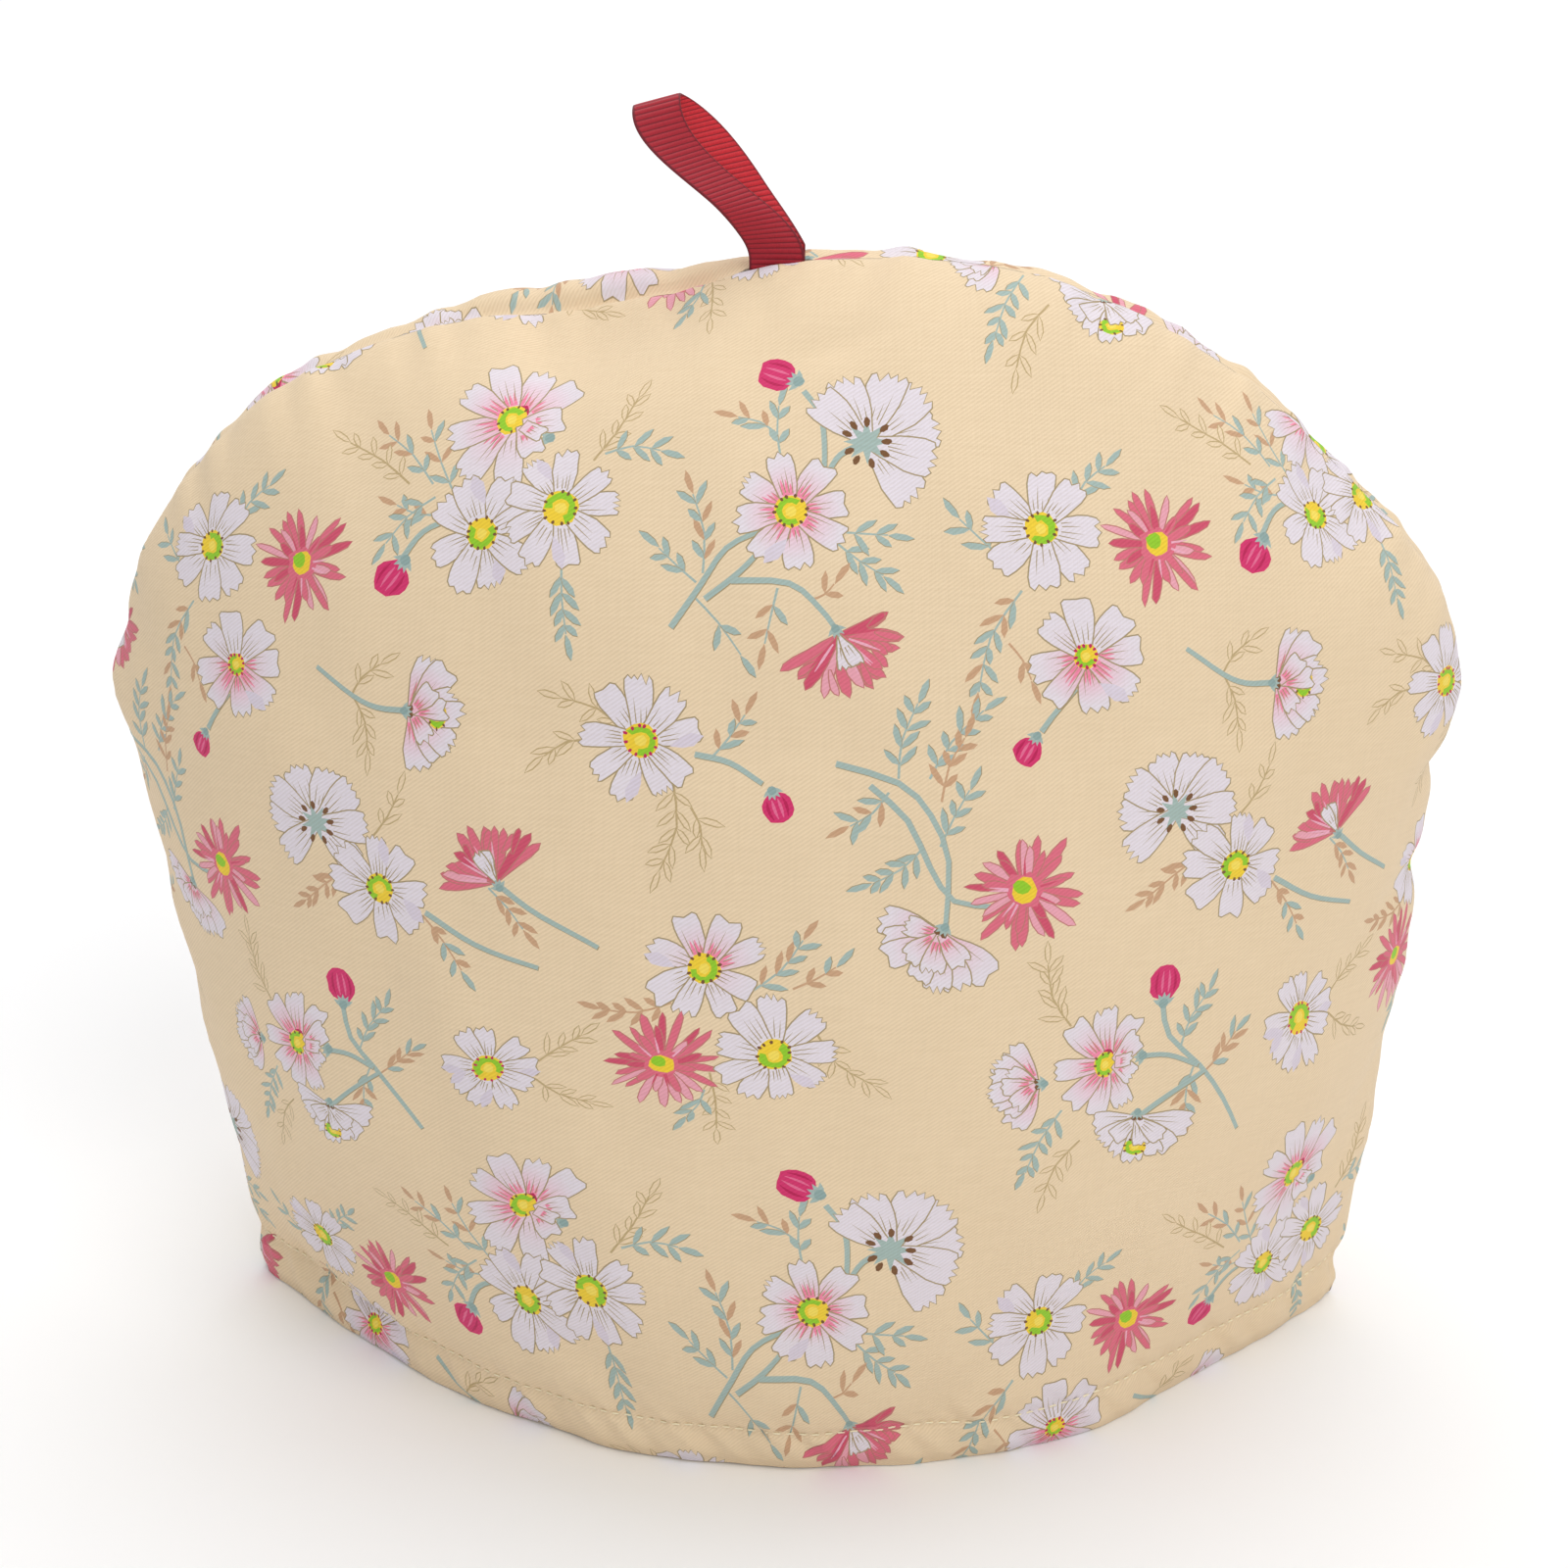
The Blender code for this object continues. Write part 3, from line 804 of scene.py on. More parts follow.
BACK_RAY = np.array([(0, -0.26), (0.6, -0.24), (1.45, 0), (0.6, 0.24), (0, 0.26)])
BACK_SEPAL = np.array([(-1.05, 0), (-0.5, -0.5), (0.4, -0.62), (1.05, -0.1), (0.9, 0.4), (0, 0.62),
                       (-0.7, 0.4)])


def back_cosmos(rng, radius, spread=95, petals=7):
    """A white cosmos from behind: broad petals in a fan along +x round a blue star with brown sepals."""
    shapes = []
    turns = np.linspace(-spread, spread, petals) + rng.uniform(-3, 3, petals)
    for turn in turns[rng.permutation(petals)]:
        long = radius * rng.uniform(0.92, 1.05)
        shapes += moved(petal(rng, long, long * 0.27, 1.4, 0.0, 4, 0.26, 4), (0, 0), turn)
    for turn in np.arange(8) * 45 + rng.uniform(0, 30):
        shapes += moved([Shape(BACK_RAY * radius * 0.22, "blue", None)], (0, 0), turn)
    for turn in np.arange(9) * 40 + rng.uniform(-6, 6, 9):
        sepal = [Shape(BACK_SEPAL * radius * 0.072, "brown", None)]
        shapes += moved(moved(sepal, (radius * rng.uniform(0.26, 0.30), 0)), (0, 0), turn)
    return shapes


def bud(rng, radius):
    """A magenta bud opening along +x, with darker strokes, a scalloped end and its calyx."""
    shapes = [Shape(blob(rng, radius, 16, 0.10, 1.05), "bud", None)]
    for turn in (-0.5, -0.2, 0.15, 0.45):
        x = np.linspace(-0.6, 0.75, 4) * radius
        y = turn * radius * (1.3 - 0.5 * (x / radius) ** 2)
        shapes.append(Shape(stroke(np.stack([x, y], 1), [0.2, 0.7, 0.6, 0.15]),
                            "deep_bud" if abs(turn) > 0.3 else "pale_bud", None))
    return shapes + moved(calyx(rng, radius * 0.75), (-radius * 1.25, 0))


def leaf(rng, long, wide, ink):
    """A small leaf along +x; a line sprig's leaf is an outline only."""
    x = long * np.array([0.0, 0.32, 0.72, 1.0, 0.66, 0.28])
    y = wide / 2 * np.array([-0.15, -0.9, -0.9, 0.05, 1.0, 0.85]) + rng.uniform(-0.06, 0.06, 6)
    edge = np.stack([x, y + rng.uniform(-0.10, 0.10) * x**2 / long], 1)
    if ink == "ground":
        return outlined(edge, THIN_LINE_OUT, LEAF_LINE_IN, "pale_line", "ground")
    if ink == "tan":
        return [Shape(edge, "tan", None)]
    return moved([Shape(edge, "line", None)], (0.10, -0.18)) + [Shape(edge, ink, None)]


def sprig(rng, points, inks, pairs=3, long=5.9, wide=1.50, end=True, bend=36):
    """Leaves in pairs up a thin stem through the points; inks are taken in turn."""
    line = curve(points, 5)
    stalk = "pale_line" if inks[0] == "ground" else inks[0]
    shapes = [Shape(stroke(line, np.linspace(0.55, 0.35, len(line))), stalk, None)]
    lengths = way_along(line)
    for k in range(pairs):
        share = (k + 0.7) / (pairs + 0.3)
        at = at_way(line, lengths, share * lengths[-1])
        ahead = at_way(line, lengths, min(1, share + 0.1) * lengths[-1])
        way = math.degrees(math.atan2(*(ahead - at)[::-1])) if k < pairs - 1 or end else 0
        for side in (-1, 1):
            ink = inks[int(rng.integers(len(inks)))]
            size = long * rng.uniform(0.70, 1.12) * (1 - 0.12 * share)
            shapes += moved(leaf(rng, size, wide, ink), at, way + side * (bend + rng.uniform(-12, 16)))
    if end:
        way = math.degrees(math.atan2(*(line[-1] - line[-2])[::-1]))
        shapes += moved(leaf(rng, long, wide, inks[-1]), line[-1], way + rng.uniform(-10, 10))
    return shapes


def stem(points, width=1.35, ink="blue"):
    """A painted stem: a khaki shadow line along one side of a blue stroke."""
    line = curve(points, 9)
    widths = np.linspace(width, width * 0.8, len(line))
    aside = moved([Shape(stroke(line, widths), "line", None)], (0.16, -0.22))
    return aside + [Shape(stroke(line, widths), ink, None)]


# The repeat, charted in millimetres of cloth: its step across and its step up.
ACROSS = np.array([196.0, 8.0])
UP = np.array([-8.0, 196.0])

BLUE, TAN, LINE_INK = "blue", "tan", "ground"
BOTH = ("blue", "tan")

# Stems, each the points that it runs through.
STEMS = (
    ((6.0, 273.0), (9.7, 267.7), (10.9, 261.0), (11.0, 252.0)),
    ((20.4, 261.2), (14.5, 258.0), (11.2, 252.5)),
    ((-21.1, 219.1), (-15.0, 228.5), (-9.7, 236.4), (-2.0, 240.5)),
    ((-14.0, 225.4), (-6.8, 231.2), (-1.5, 237.0)),
    ((-8.5, 229.4), (3.9, 229.1), (10.6, 223.7), (14.2, 219.0)),
    ((112.0, 240.0), (117.0, 247.0), (124.5, 250.5)),
    ((58.5, 197.0), (61.0, 200.5), (66.0, 206.5)),
    ((114.0, 206.4), (107.5, 206.6), (101.3, 208.9), (91.7, 215.0)),
    ((-15.5, 191.6), (-8.0, 189.9), (-1.0, 185.6)),
    ((137.0, 168.4), (147.0, 161.5), (160.0, 155.0)),
    ((118.7, 159.3), (131.0, 153.0), (146.1, 148.9)),
    ((14.4, 190.1), (27.5, 186.1), (34.2, 179.2), (38.5, 168.5), (38.4, 153.0)),
    ((21.6, 185.4), (29.4, 178.0), (34.5, 167.3), (40.1, 159.2), (50.0, 157.6)),
    ((91.2, 131.0), (94.0, 122.4), (102.0, 114.8), (109.0, 106.5), (115.3, 97.5)),
    ((86.0, 117.8), (94.0, 117.6), (101.5, 114.9)),
    ((88.0, 102.0), (96.0, 108.5), (103.0, 113.5)),
)

# Sprigs: where each starts and ends, its inks, and its pairs of leaves.
SPRIGS = (
    ((-14.6, 231.0), (-17.6, 248.5), BOTH, 4),
    ((-16.0, 229.0), (-24.5, 236.5), (BLUE,), 2),
    ((1.5, 256.5), (0.5, 269.5), (BLUE,), 2),
    ((0.5, 262.5), (-8.5, 266.5), BOTH, 2),
    ((14.0, 238.0), (24.0, 231.0), (BLUE,), 3),
    ((14.5, 240.5), (25.0, 240.0), (BLUE,), 2),
    ((-17.0, 226.5), (-6.0, 213.5), (BLUE,), 1),
    ((1.5, 228.0), (-1.0, 216.0), (BLUE, BLUE, TAN), 2),
    ((8.5, 225.5), (13.5, 229.0), (TAN,), 1),
    ((-72.0, 247.0), (-80.8, 263.0), BOTH, 3),
    ((-75.0, 243.0), (-86.5, 245.0), BOTH, 2),
    ((-78.0, 250.0), (-92.0, 262.0), BOTH, 3),
    ((-77.0, 247.0), (-88.0, 236.0), (BLUE,), 3),
    ((-84.0, 250.0), (-102.0, 260.0), (LINE_INK,), 4),
    ((-40.5, 256.0), (-32.0, 271.5), (LINE_INK,), 4),
    ((-38.0, 257.5), (-25.5, 258.5), (BLUE,), 3),
    ((-45.5, 232.0), (-43.8, 217.0), (BLUE,), 4),
    ((50.0, 235.0), (40.5, 243.5), (BLUE,), 2),
    ((54.0, 228.0), (44.5, 206.0), BOTH, 6),
    ((51.0, 216.5), (56.0, 208.5), (TAN,), 1),
    ((66.0, 247.0), (74.5, 256.5), (BLUE,), 3),
    ((101.0, 209.0), (108.5, 216.5), (LINE_INK,), 2),
    ((101.5, 208.5), (105.5, 196.5), (LINE_INK,), 3),
    ((-12.0, 190.8), (-5.0, 200.5), BOTH, 3),
    ((-30.0, 196.0), (-44.5, 203.0), (LINE_INK,), 3),
    ((-38.0, 194.0), (-48.5, 190.0), (LINE_INK,), 2),
    ((-20.0, 186.0), (-22.6, 165.5), (LINE_INK,), 5),
    ((-16.0, 180.0), (-13.5, 171.5), (LINE_INK,), 2),
    ((97.0, 166.5), (84.5, 157.5), (TAN,), 4),
    ((135.0, 167.0), (143.0, 158.0), BOTH, 3),
    ((118.0, 158.5), (127.5, 146.5), (TAN, BLUE), 3),
    ((106.5, 176.5), (113.5, 187.0), (LINE_INK,), 2),
    ((27.5, 187.0), (31.5, 203.5), (BLUE,), 4),
    ((34.0, 187.0), (45.5, 202.0), (BLUE,), 4),
    ((36.5, 182.0), (41.5, 196.0), (TAN,), 3),
    ((25.5, 184.0), (17.5, 176.5), (BLUE, BLUE, TAN), 3),
    ((33.0, 172.0), (22.5, 163.5), (BLUE,), 4),
    ((36.5, 172.0), (42.5, 184.5), (BLUE,), 3),
    ((-20.0, 135.0), (-35.5, 132.5), (TAN,), 4),
    ((-3.0, 138.0), (8.0, 150.5), BOTH, 4),
    ((6.0, 139.0), (15.0, 144.5), (TAN, BLUE), 2),
    ((11.5, 128.0), (23.5, 114.5), (LINE_INK,), 4),
    ((-11.5, 117.5), (-9.5, 99.5), (LINE_INK,), 4),
    ((-12.5, 112.0), (-16.0, 103.0), (BLUE,), 2),
    ((-50.0, 117.0), (-40.5, 125.5), (LINE_INK,), 3),
    ((-50.5, 111.5), (-38.0, 105.5), (LINE_INK,), 3),
    ((97.0, 119.5), (103.5, 132.5), (BLUE,), 4),
    ((103.5, 113.5), (112.0, 121.5), (TAN, BLUE), 3),
    ((100.5, 115.0), (99.0, 103.5), BOTH, 3),
    ((68.0, 128.0), (61.5, 143.5), (LINE_INK,), 5),
    ((71.0, 97.0), (62.5, 82.0), (LINE_INK,), 3),
    ((66.0, 106.0), (57.5, 88.5), (BLUE,), 5),
)

# Flowers: kind, place, turn, radius, seed and the drawing's own options.
FLOWERS = (
    ("bud", (-0.2, 277.5), 158, 4.3, 3, {}),
    ("back_cosmos", (20.4, 261.2), 45, 16.6, 5, {}),
    ("cosmos", (4.0, 244.8), 12, 13.6, 8, {"flush": 0.7, "dots": "brown"}),
    ("coral_side", (14.6, 218.0), -62, 15.0, 12, {}),
    ("half_cosmos", (-60.5, 265.6), 156, 17.2, 15, {}),
    ("cosmos", (-64.9, 238.9), 20, 13.9, 21, {"petals": 8, "curls": 2}),
    ("cosmos", (-46.9, 244.8), 5, 14.2, 18, {"petals": 9, "curls": 2, "middle": 0.29}),
    ("cosmos", (58.6, 241.7), 2, 13.8, 24, {"petals": 8}),
    ("coral_daisy", (85.9, 238.7), 0, 13.8, 27, {}),
    ("bud", (110.3, 236.1), 235, 4.2, 30, {}),
    ("cosmos", (68.1, 213.6), 8, 13.9, 33, {"flush": 0.95, "side": 262, "dots": "magenta", "middle": 0.20}),
    ("bud", (55.4, 192.7), 238, 3.2, 36, {}),
    ("side_cosmos", (116.4, 206.2), -3, 16.0, 39, {"flush": 0.75}),
    ("cosmos", (-27.1, 194.3), 10, 14.3, 42, {"petals": 9, "dots": "magenta", "curls": 2}),
    ("bud", (2.4, 180.4), 290, 3.2, 45, {}),
    ("back_cosmos", (90.6, 177.8), 92, 14.6, 48, {"spread": 128, "petals": 8}),
    ("cosmos", (106.9, 163.6), 0, 13.8, 51, {"petals": 8, "curls": 2}),
    ("coral_side", (136.9, 168.7), 122, 15.0, 54, {"spread": 78}),
    ("coral_daisy", (55.3, 161.4), 0, 14.0, 57, {}),
    ("side_cosmos", (37.3, 151.5), 238, 16.0, 60, {"flush": 0.55, "gold": 0.0, "fronts": 4}),
    ("cosmos", (-13.0, 143.2), 22, 13.8, 63, {"flush": 0.55, "side": 40, "middle": 0.26, "curls": 1}),
    ("coral_daisy", (-21.9, 119.5), 0, 13.4, 69, {}),
    ("cosmos", (2.2, 123.2), 6, 14.3, 66, {"petals": 9, "curls": 1}),
    ("cosmos", (-62.1, 112.8), 14, 13.4, 72, {"petals": 9, "dots": "magenta", "curls": 4, "middle": 0.30}),
    ("side_cosmos", (60.0, 113.4), 184, 14.5, 78, {"flush": 0.6, "gold": 0.0, "spread": 66}),
    ("half_cosmos", (77.6, 117.4), 183, 15.2, 75, {"flush": 0.9, "away": 0.50}),
    ("bud", (91.2, 136.3), 92, 4.2, 84, {}),
    ("side_cosmos", (87.0, 101.0), 268, 15.2, 81, {"flush": 0.0, "gold": 0.50, "spread": 84}),
)
DRAW = {"bud": bud, "cosmos": cosmos, "back_cosmos": back_cosmos, "side_cosmos": side_cosmos,
        "half_cosmos": half_cosmos, "coral_daisy": coral_daisy, "coral_side": coral_side}


def tile():
    """All shapes of one repeat, in the order that they are painted."""
    shapes = []
    for start, end, inks, pairs in SPRIGS:
        rng = np.random.default_rng(int(abs(start[0]) * 10 + abs(start[1]) * 10))
        start, end = np.array(start), np.array(end)
        aside = np.array([start[1] - end[1], end[0] - start[0]]) * rng.uniform(-0.12, 0.12)
        shapes.append(sprig(rng, (start, (start + end) / 2 + aside, end), inks, pairs))
    for points in STEMS:
        shapes.append(stem(points))
    for kind, at, turn, radius, seed, options in FLOWERS:
        rng = np.random.default_rng(seed)
        shapes.append(moved(DRAW[kind](rng, radius, **options), at, turn))
    return shapes


# Mesh of the cloth: distances in millimetres of cloth.
GRID_STEP = 3.9
SEAM_ROWS = (0.8, 1.7, 2.8, 4.2)
HEM_ROWS = tuple(0.9 * k for k in range(1, 20))
HEM_ALONG = 1.05
INNER_STEP = 6.5
INNER_ROWS = (1.5, 4.0)
BORDER_PARTS = 3
CLEAR_OF_BORDER = 0.5
INNER_CLEAR_OF_BORDER = 1.0
CUT_PRECISION = 1e-4
HEM_END_MARGIN = 2.0

# Where the print lies on each panel, the repeats that are tried, and how near the cloth a shape has to come.
PRINT_SHIFT = {FRONT: (0.0, 0.0), BACK: (61.0, -43.0)}
REPEATS = range(-3, 4)
PRINT_MARGIN = 20
ON_CLOTH = 0.01


def linear(colour):
    """Scene-linear colour of an 8-bit sRGB one."""
    share = np.asarray(colour, dtype=float) / 255
    return np.where(share <= 0.04045, share / 12.92, ((share + 0.055) / 1.055) ** 2.4)


class Pattern:
    """The flat pattern of a panel, with the way back from flat cloth to u and v."""

    def __init__(self, side, grid):
        u, v, flat = grid
        rows, columns = u.shape
        self.side = side
        self.flat = flat * 1000 * (-side, 1)
        self.u, self.v = u, v
        index = np.arange(rows * columns).reshape(rows, columns)
        a, b, c, d = index[:-1, :-1], index[:-1, 1:], index[1:, 1:], index[1:, :-1]
        self.triangles = np.concatenate([np.stack([a, b, c], -1).reshape(-1, 3),
                                         np.stack([a, c, d], -1).reshape(-1, 3)])
        places = self.flat.reshape(-1, 2)
        self.tree = BVHTree.FromPolygons([(x, y, 0.0) for x, y in places], self.triangles.tolist())
        way = way_along(smooth_cloth(FRONT, u[0], v[0]))
        self.hem_u, self.hem_way = u[0], way - way[-1] / 2

    def way_along_hem(self, u):
        """Metres along the hem from its middle."""
        return np.interp(u, self.hem_u, self.hem_way) * -self.side

    def border(self):
        """The pattern's edge, counter-clockwise from the hem, in short steps."""
        flat = self.flat
        edge = np.concatenate([flat[0, :-1], flat[:-1, -1], flat[-1, :0:-1], flat[:0:-1, 0]])
        if self.side == BACK:
            edge = edge[::-1]
        after = np.roll(edge, -1, axis=0)
        parts = [edge + (after - edge) * k / BORDER_PARTS for k in range(BORDER_PARTS)]
        return np.stack(parts, axis=1).reshape(-1, 2)

    def u_and_v(self, places):
        """u and v of places on the flat cloth, and how far each lies off the cloth."""
        found = [self.tree.find_nearest((x, y, 0.0)) for x, y in places]
        face = np.array([hit[2] for hit in found])
        off = np.array([hit[3] for hit in found])
        place = np.array([hit[0][:2] for hit in found])
        corner = self.flat.reshape(-1, 2)[self.triangles[face]]
        one, two, to = corner[:, 1] - corner[:, 0], corner[:, 2] - corner[:, 0], place - corner[:, 0]
        area = one[:, 0] * two[:, 1] - one[:, 1] * two[:, 0]
        share_1 = (to[:, 0] * two[:, 1] - to[:, 1] * two[:, 0]) / area
        share_2 = (one[:, 0] * to[:, 1] - one[:, 1] * to[:, 0]) / area
        shares = np.stack([1 - share_1 - share_2, share_1, share_2], axis=1)
        u = (self.u.reshape(-1)[self.triangles[face]] * shares).sum(axis=1)
        v = (self.v.reshape(-1)[self.triangles[face]] * shares).sum(axis=1)
        return snapped(u, -1, 1), snapped(v, 0, 1), off


def snapped(value, low, high):
    """The values held between low and high, and on them where they are a hair away."""
    value = np.clip(value, low, high)
    value[value < low + 1e-6] = low
    value[value > high - 1e-6] = high
    return value


def nearest_gap(places, border):
    """Distance of each place from the nearest point of the border."""
    gaps = [np.linalg.norm(part[:, None] - border[None], axis=-1).min(axis=1)
            for part in np.array_split(places, max(1, len(places) // 500))]
    return np.concatenate(gaps)


def hex_grid(border, step):
    """Even points over the border's box."""
    low, high = border.min(axis=0), border.max(axis=0)
    rows = np.arange(low[1], high[1], step * 0.866)
    columns = np.arange(low[0], high[0], step)
    x, y = np.meshgrid(columns, rows)
    x[1::2] += step / 2
    return np.stack([x.ravel(), y.ravel()], axis=1)


def rows_within(border, gaps):
    """Copies of the border drawn in by each gap."""
    return [inset(border, gap / INSET_GAIN) for gap in gaps]


def contained(points, edge):
    """Which points lie within a closed outline, by counting crossings."""
    x, y = points[:, 0, None], points[:, 1, None]
    ax, ay = edge[:, 0], edge[:, 1]
    bx, by = np.roll(ax, -1), np.roll(ay, -1)
    crosses = (ay > y) != (by > y)
    rise = np.where(by == ay, 1.0, by - ay)
    return (crosses & (x < ax + (y - ay) * (bx - ax) / rise)).sum(axis=1) % 2 == 1


def within_box(points, low, high):
    """Numbers of the points that lie in a box."""
    x, y = points[:, 0], points[:, 1]
    return np.flatnonzero((x > low[0]) & (x < high[0]) & (y > low[1]) & (y < high[1]))


def with_visible_edges(groups):
    """Each shape of the tile with a flag for each of its edges: False where later shapes cover it."""
    shapes = [shape for group in groups for shape in group]
    start = np.concatenate([shape.edge for shape in shapes])
    end = np.concatenate([np.roll(shape.edge, -1, axis=0) for shape in shapes])
    ends = np.cumsum([len(shape.edge) for shape in shapes])
    seen = np.ones(len(start), dtype=bool)
    middle = (start + end) / 2
    for shape, first in zip(shapes, np.concatenate([[0], ends[:-1]])):
        low, high = shape.edge.min(axis=0), shape.edge.max(axis=0)
        near = within_box(middle[:first], low, high)
        near = near[seen[near]]
        if len(near):
            covered = (contained(start[near], shape.edge) & contained(end[near], shape.edge)
                       & contained(middle[near], shape.edge))
            seen[near[covered]] = False
    flags = iter(np.split(seen, ends[:-1]))
    return [[(shape, next(flags)) for shape in group] for group in groups]


# The front's print as the photo has it, below a height: wider, a little to the left, lower on the right
# and higher on the left, and moved up or down by so much at so many heights, most in the middle.
EASE_BELOW = 125
EASE_OVER = 65
EASE_WIDER = 0.09
EASE_LEFT = 1.5
EASE_TILT = 0.05
EASE_MIDDLE = 95
EASE_AT = (-40.0, 22.0, 36.0, 49.0, 65.0, 82.0, 100.0, 122.0)
EASE_UP = (-14.0, -6.0, 1.0, 6.0, 9.0, 9.0, 5.0, 0.0)


def eased(places):
    """Places of the print, as it sits on the front panel in the photo."""
    x, y = places[:, 0], places[:, 1]
    low = np.clip((EASE_BELOW - y) / EASE_OVER, 0, 1)
    middle = np.clip(1 - (x / EASE_MIDDLE) ** 2, -0.3, 1)
    up = np.interp(y, EASE_AT, EASE_UP) * middle - EASE_TILT * x * low
    return places + np.stack([(EASE_WIDER * x - EASE_LEFT) * low, up], axis=1)


def eased_shape(shape):
    """A shape of the print where it sits in the photo, its glow with it."""
    glow = shape.glow and shape.glow._replace(at=tuple(eased(np.array([shape.glow.at]))[0]))
    return Shape(eased(shape.edge), shape.ink, glow)


def placed_group(pattern, group, shift):
    """One group of shapes at its place on the pattern."""
    shapes = moved([shape for shape, _ in group], shift)
    if pattern.side == FRONT:
        shapes = [eased_shape(shape) for shape in shapes]
    return [(shape, seen) for shape, (_, seen) in zip(shapes, group)]


def print_on(pattern, groups):
    """Groups of shapes of the print that touch the pattern, in painting order."""
    flat = pattern.flat.reshape(-1, 2)
    low, high = flat.min(axis=0) - PRINT_MARGIN, flat.max(axis=0) + PRINT_MARGIN
    placed = []
    for across, up in itertools.product(REPEATS, REPEATS):
        shift = ACROSS * across + UP * up + PRINT_SHIFT[pattern.side]
        for group in groups:
            edges = np.concatenate([shape.edge for shape, _ in group]) + shift
            if (edges.max(axis=0) > low).all() and (edges.min(axis=0) < high).all():
                placed.append(placed_group(pattern, group, shift))
    every = np.concatenate([shape.edge for group in placed for shape, _ in group])
    off = pattern.u_and_v(every)[2]
    ends = np.cumsum([sum(len(shape.edge) for shape, _ in group) for group in placed])
    return [group for group, part in zip(placed, np.split(off, ends[:-1])) if part.min() < ON_CLOTH]


def counter_clockwise(edge):
    """The closed outline, turned over where it runs clockwise."""
    x, y = edge[:, 0], edge[:, 1]
    area = (x * np.roll(y, -1) - np.roll(x, -1) * y).sum()
    return edge if area > 0 else edge[::-1]


def cut_cloth(border, spots, groups):
    """Triangles of the cloth within its border, cut along every edge of the print that shows."""
    points, lines, count = [border], [], len(border)
    for group in groups:
        for shape, seen in group:
            used = seen | np.roll(seen, 1)
            place = np.cumsum(used) - 1 + count
            following = np.roll(place, -1)
            points.append(shape.edge[used])
            pairs = zip(place.tolist(), following.tolist())
            lines += [pair for pair, shows in zip(pairs, seen) if shows]
            count += int(used.sum())
    points = [Vector(place) for place in np.concatenate(points + [spots])]
    outline = [range(len(border))]
    places, _, triangles, _, _, sources = delaunay_2d_cdt(points, lines, outline, 1, CUT_PRECISION)
    corners = np.array([triangle for triangle, source in zip(triangles, sources) if 0 in source])
    used, corners = np.unique(corners, return_inverse=True)
    return np.array([places[k] for k in used]), corners.reshape(-1, 3)


def top_shapes(places, triangles, groups):
    """Number of the shape painted last on each triangle, or -1 for bare ground."""
    middle = places[triangles].mean(axis=1)
    top = np.full(len(triangles), -1)
    number = 0
    for group in groups:
        edges = np.concatenate([shape.edge for shape, _ in group])
        near = within_box(middle, edges.min(axis=0), edges.max(axis=0))
        for shape, _ in group:
            close = near[within_box(middle[near], shape.edge.min(axis=0), shape.edge.max(axis=0))]
            if len(close):
                top[close[contained(middle[close], shape.edge)]] = number
            number += 1
    return top


def open_edge(triangles):
    """The edges that only one triangle has, in order, as a loop of vertices."""
    pairs = np.concatenate([triangles[:, [0, 1]], triangles[:, [1, 2]], triangles[:, [2, 0]]])
    forward = {(a, b) for a, b in pairs.tolist()}
    after = {a: b for a, b in forward if (b, a) not in forward}
    start = min(after)
    loop = [start]
    while after[loop[-1]] != start:
        loop.append(after[loop[-1]])
    return np.array(loop)


def painted(places, triangles, top, shapes):
    """Linear colour at each corner of each triangle."""
    inks = np.array([linear(INKS["ground"])] + [linear(INKS[shape.ink]) for shape in shapes])
    glows = [shape.glow or Glow(shape.ink, (0.0, 0.0), 0.0, 1.0, 0.0) for shape in shapes]
    second = np.array([linear(INKS["ground"])] + [linear(INKS[glow.ink]) for glow in glows])
    at = np.array([(0.0, 0.0)] + [glow.at for glow in glows])[top + 1]
    near, far, most = np.array([(0.0, 1.0, 0.0)] + [(g.near, g.far, g.most) for g in glows])[top + 1].T
    gap = np.linalg.norm(places[triangles] - at[:, None], axis=-1)
    share = np.clip((far[:, None] - gap) / (far - near)[:, None], 0, 1) * most[:, None]
    first, second = inks[top + 1][:, None], second[top + 1][:, None]
    return first + (second - first) * share[..., None]


def vertex_normals(points, triangles):
    """Normals of a shell's points, weighted by area."""
    corner = points[triangles]
    face = np.cross(corner[:, 1] - corner[:, 0], corner[:, 2] - corner[:, 0])
    normals = np.zeros_like(points)
    for k in range(3):
        np.add.at(normals, triangles[:, k], face)
    return unit(normals)


def inner_wall(pattern, border, places, loop, on_hem, first):
    """The inner face: its own points, its triangles, and its hem's points by the printed hem's.

    It shares the seam's points. Along the hem it has a row of its own, one wall in, on the table.
    """
    spots = np.concatenate([hex_grid(border, INNER_STEP)] + rows_within(border, INNER_ROWS))
    spots = spots[nearest_gap(spots, border) > INNER_CLEAR_OF_BORDER]
    inner_places, triangles = cut_cloth(places[loop], spots, [])
    u, v, _ = pattern.u_and_v(inner_places)
    twins = {tuple(np.round(place, 3)): k for k, place in zip(loop, places[loop])}
    numbers, ring, extra = [], {}, []
    for place, point in zip(inner_places, inner_face(pattern.side, u, v)):
        twin = twins.get(tuple(np.round(place, 3)))
        if twin is not None and twin not in on_hem:
            numbers.append(twin)
            continue
        if twin is not None:
            ring[twin] = first + len(extra)
            point = np.array([point[0], point[1], 0.0])
        numbers.append(first + len(extra))
        extra.append(point)
    return np.array(extra), np.array(numbers)[triangles][:, ::-1], ring


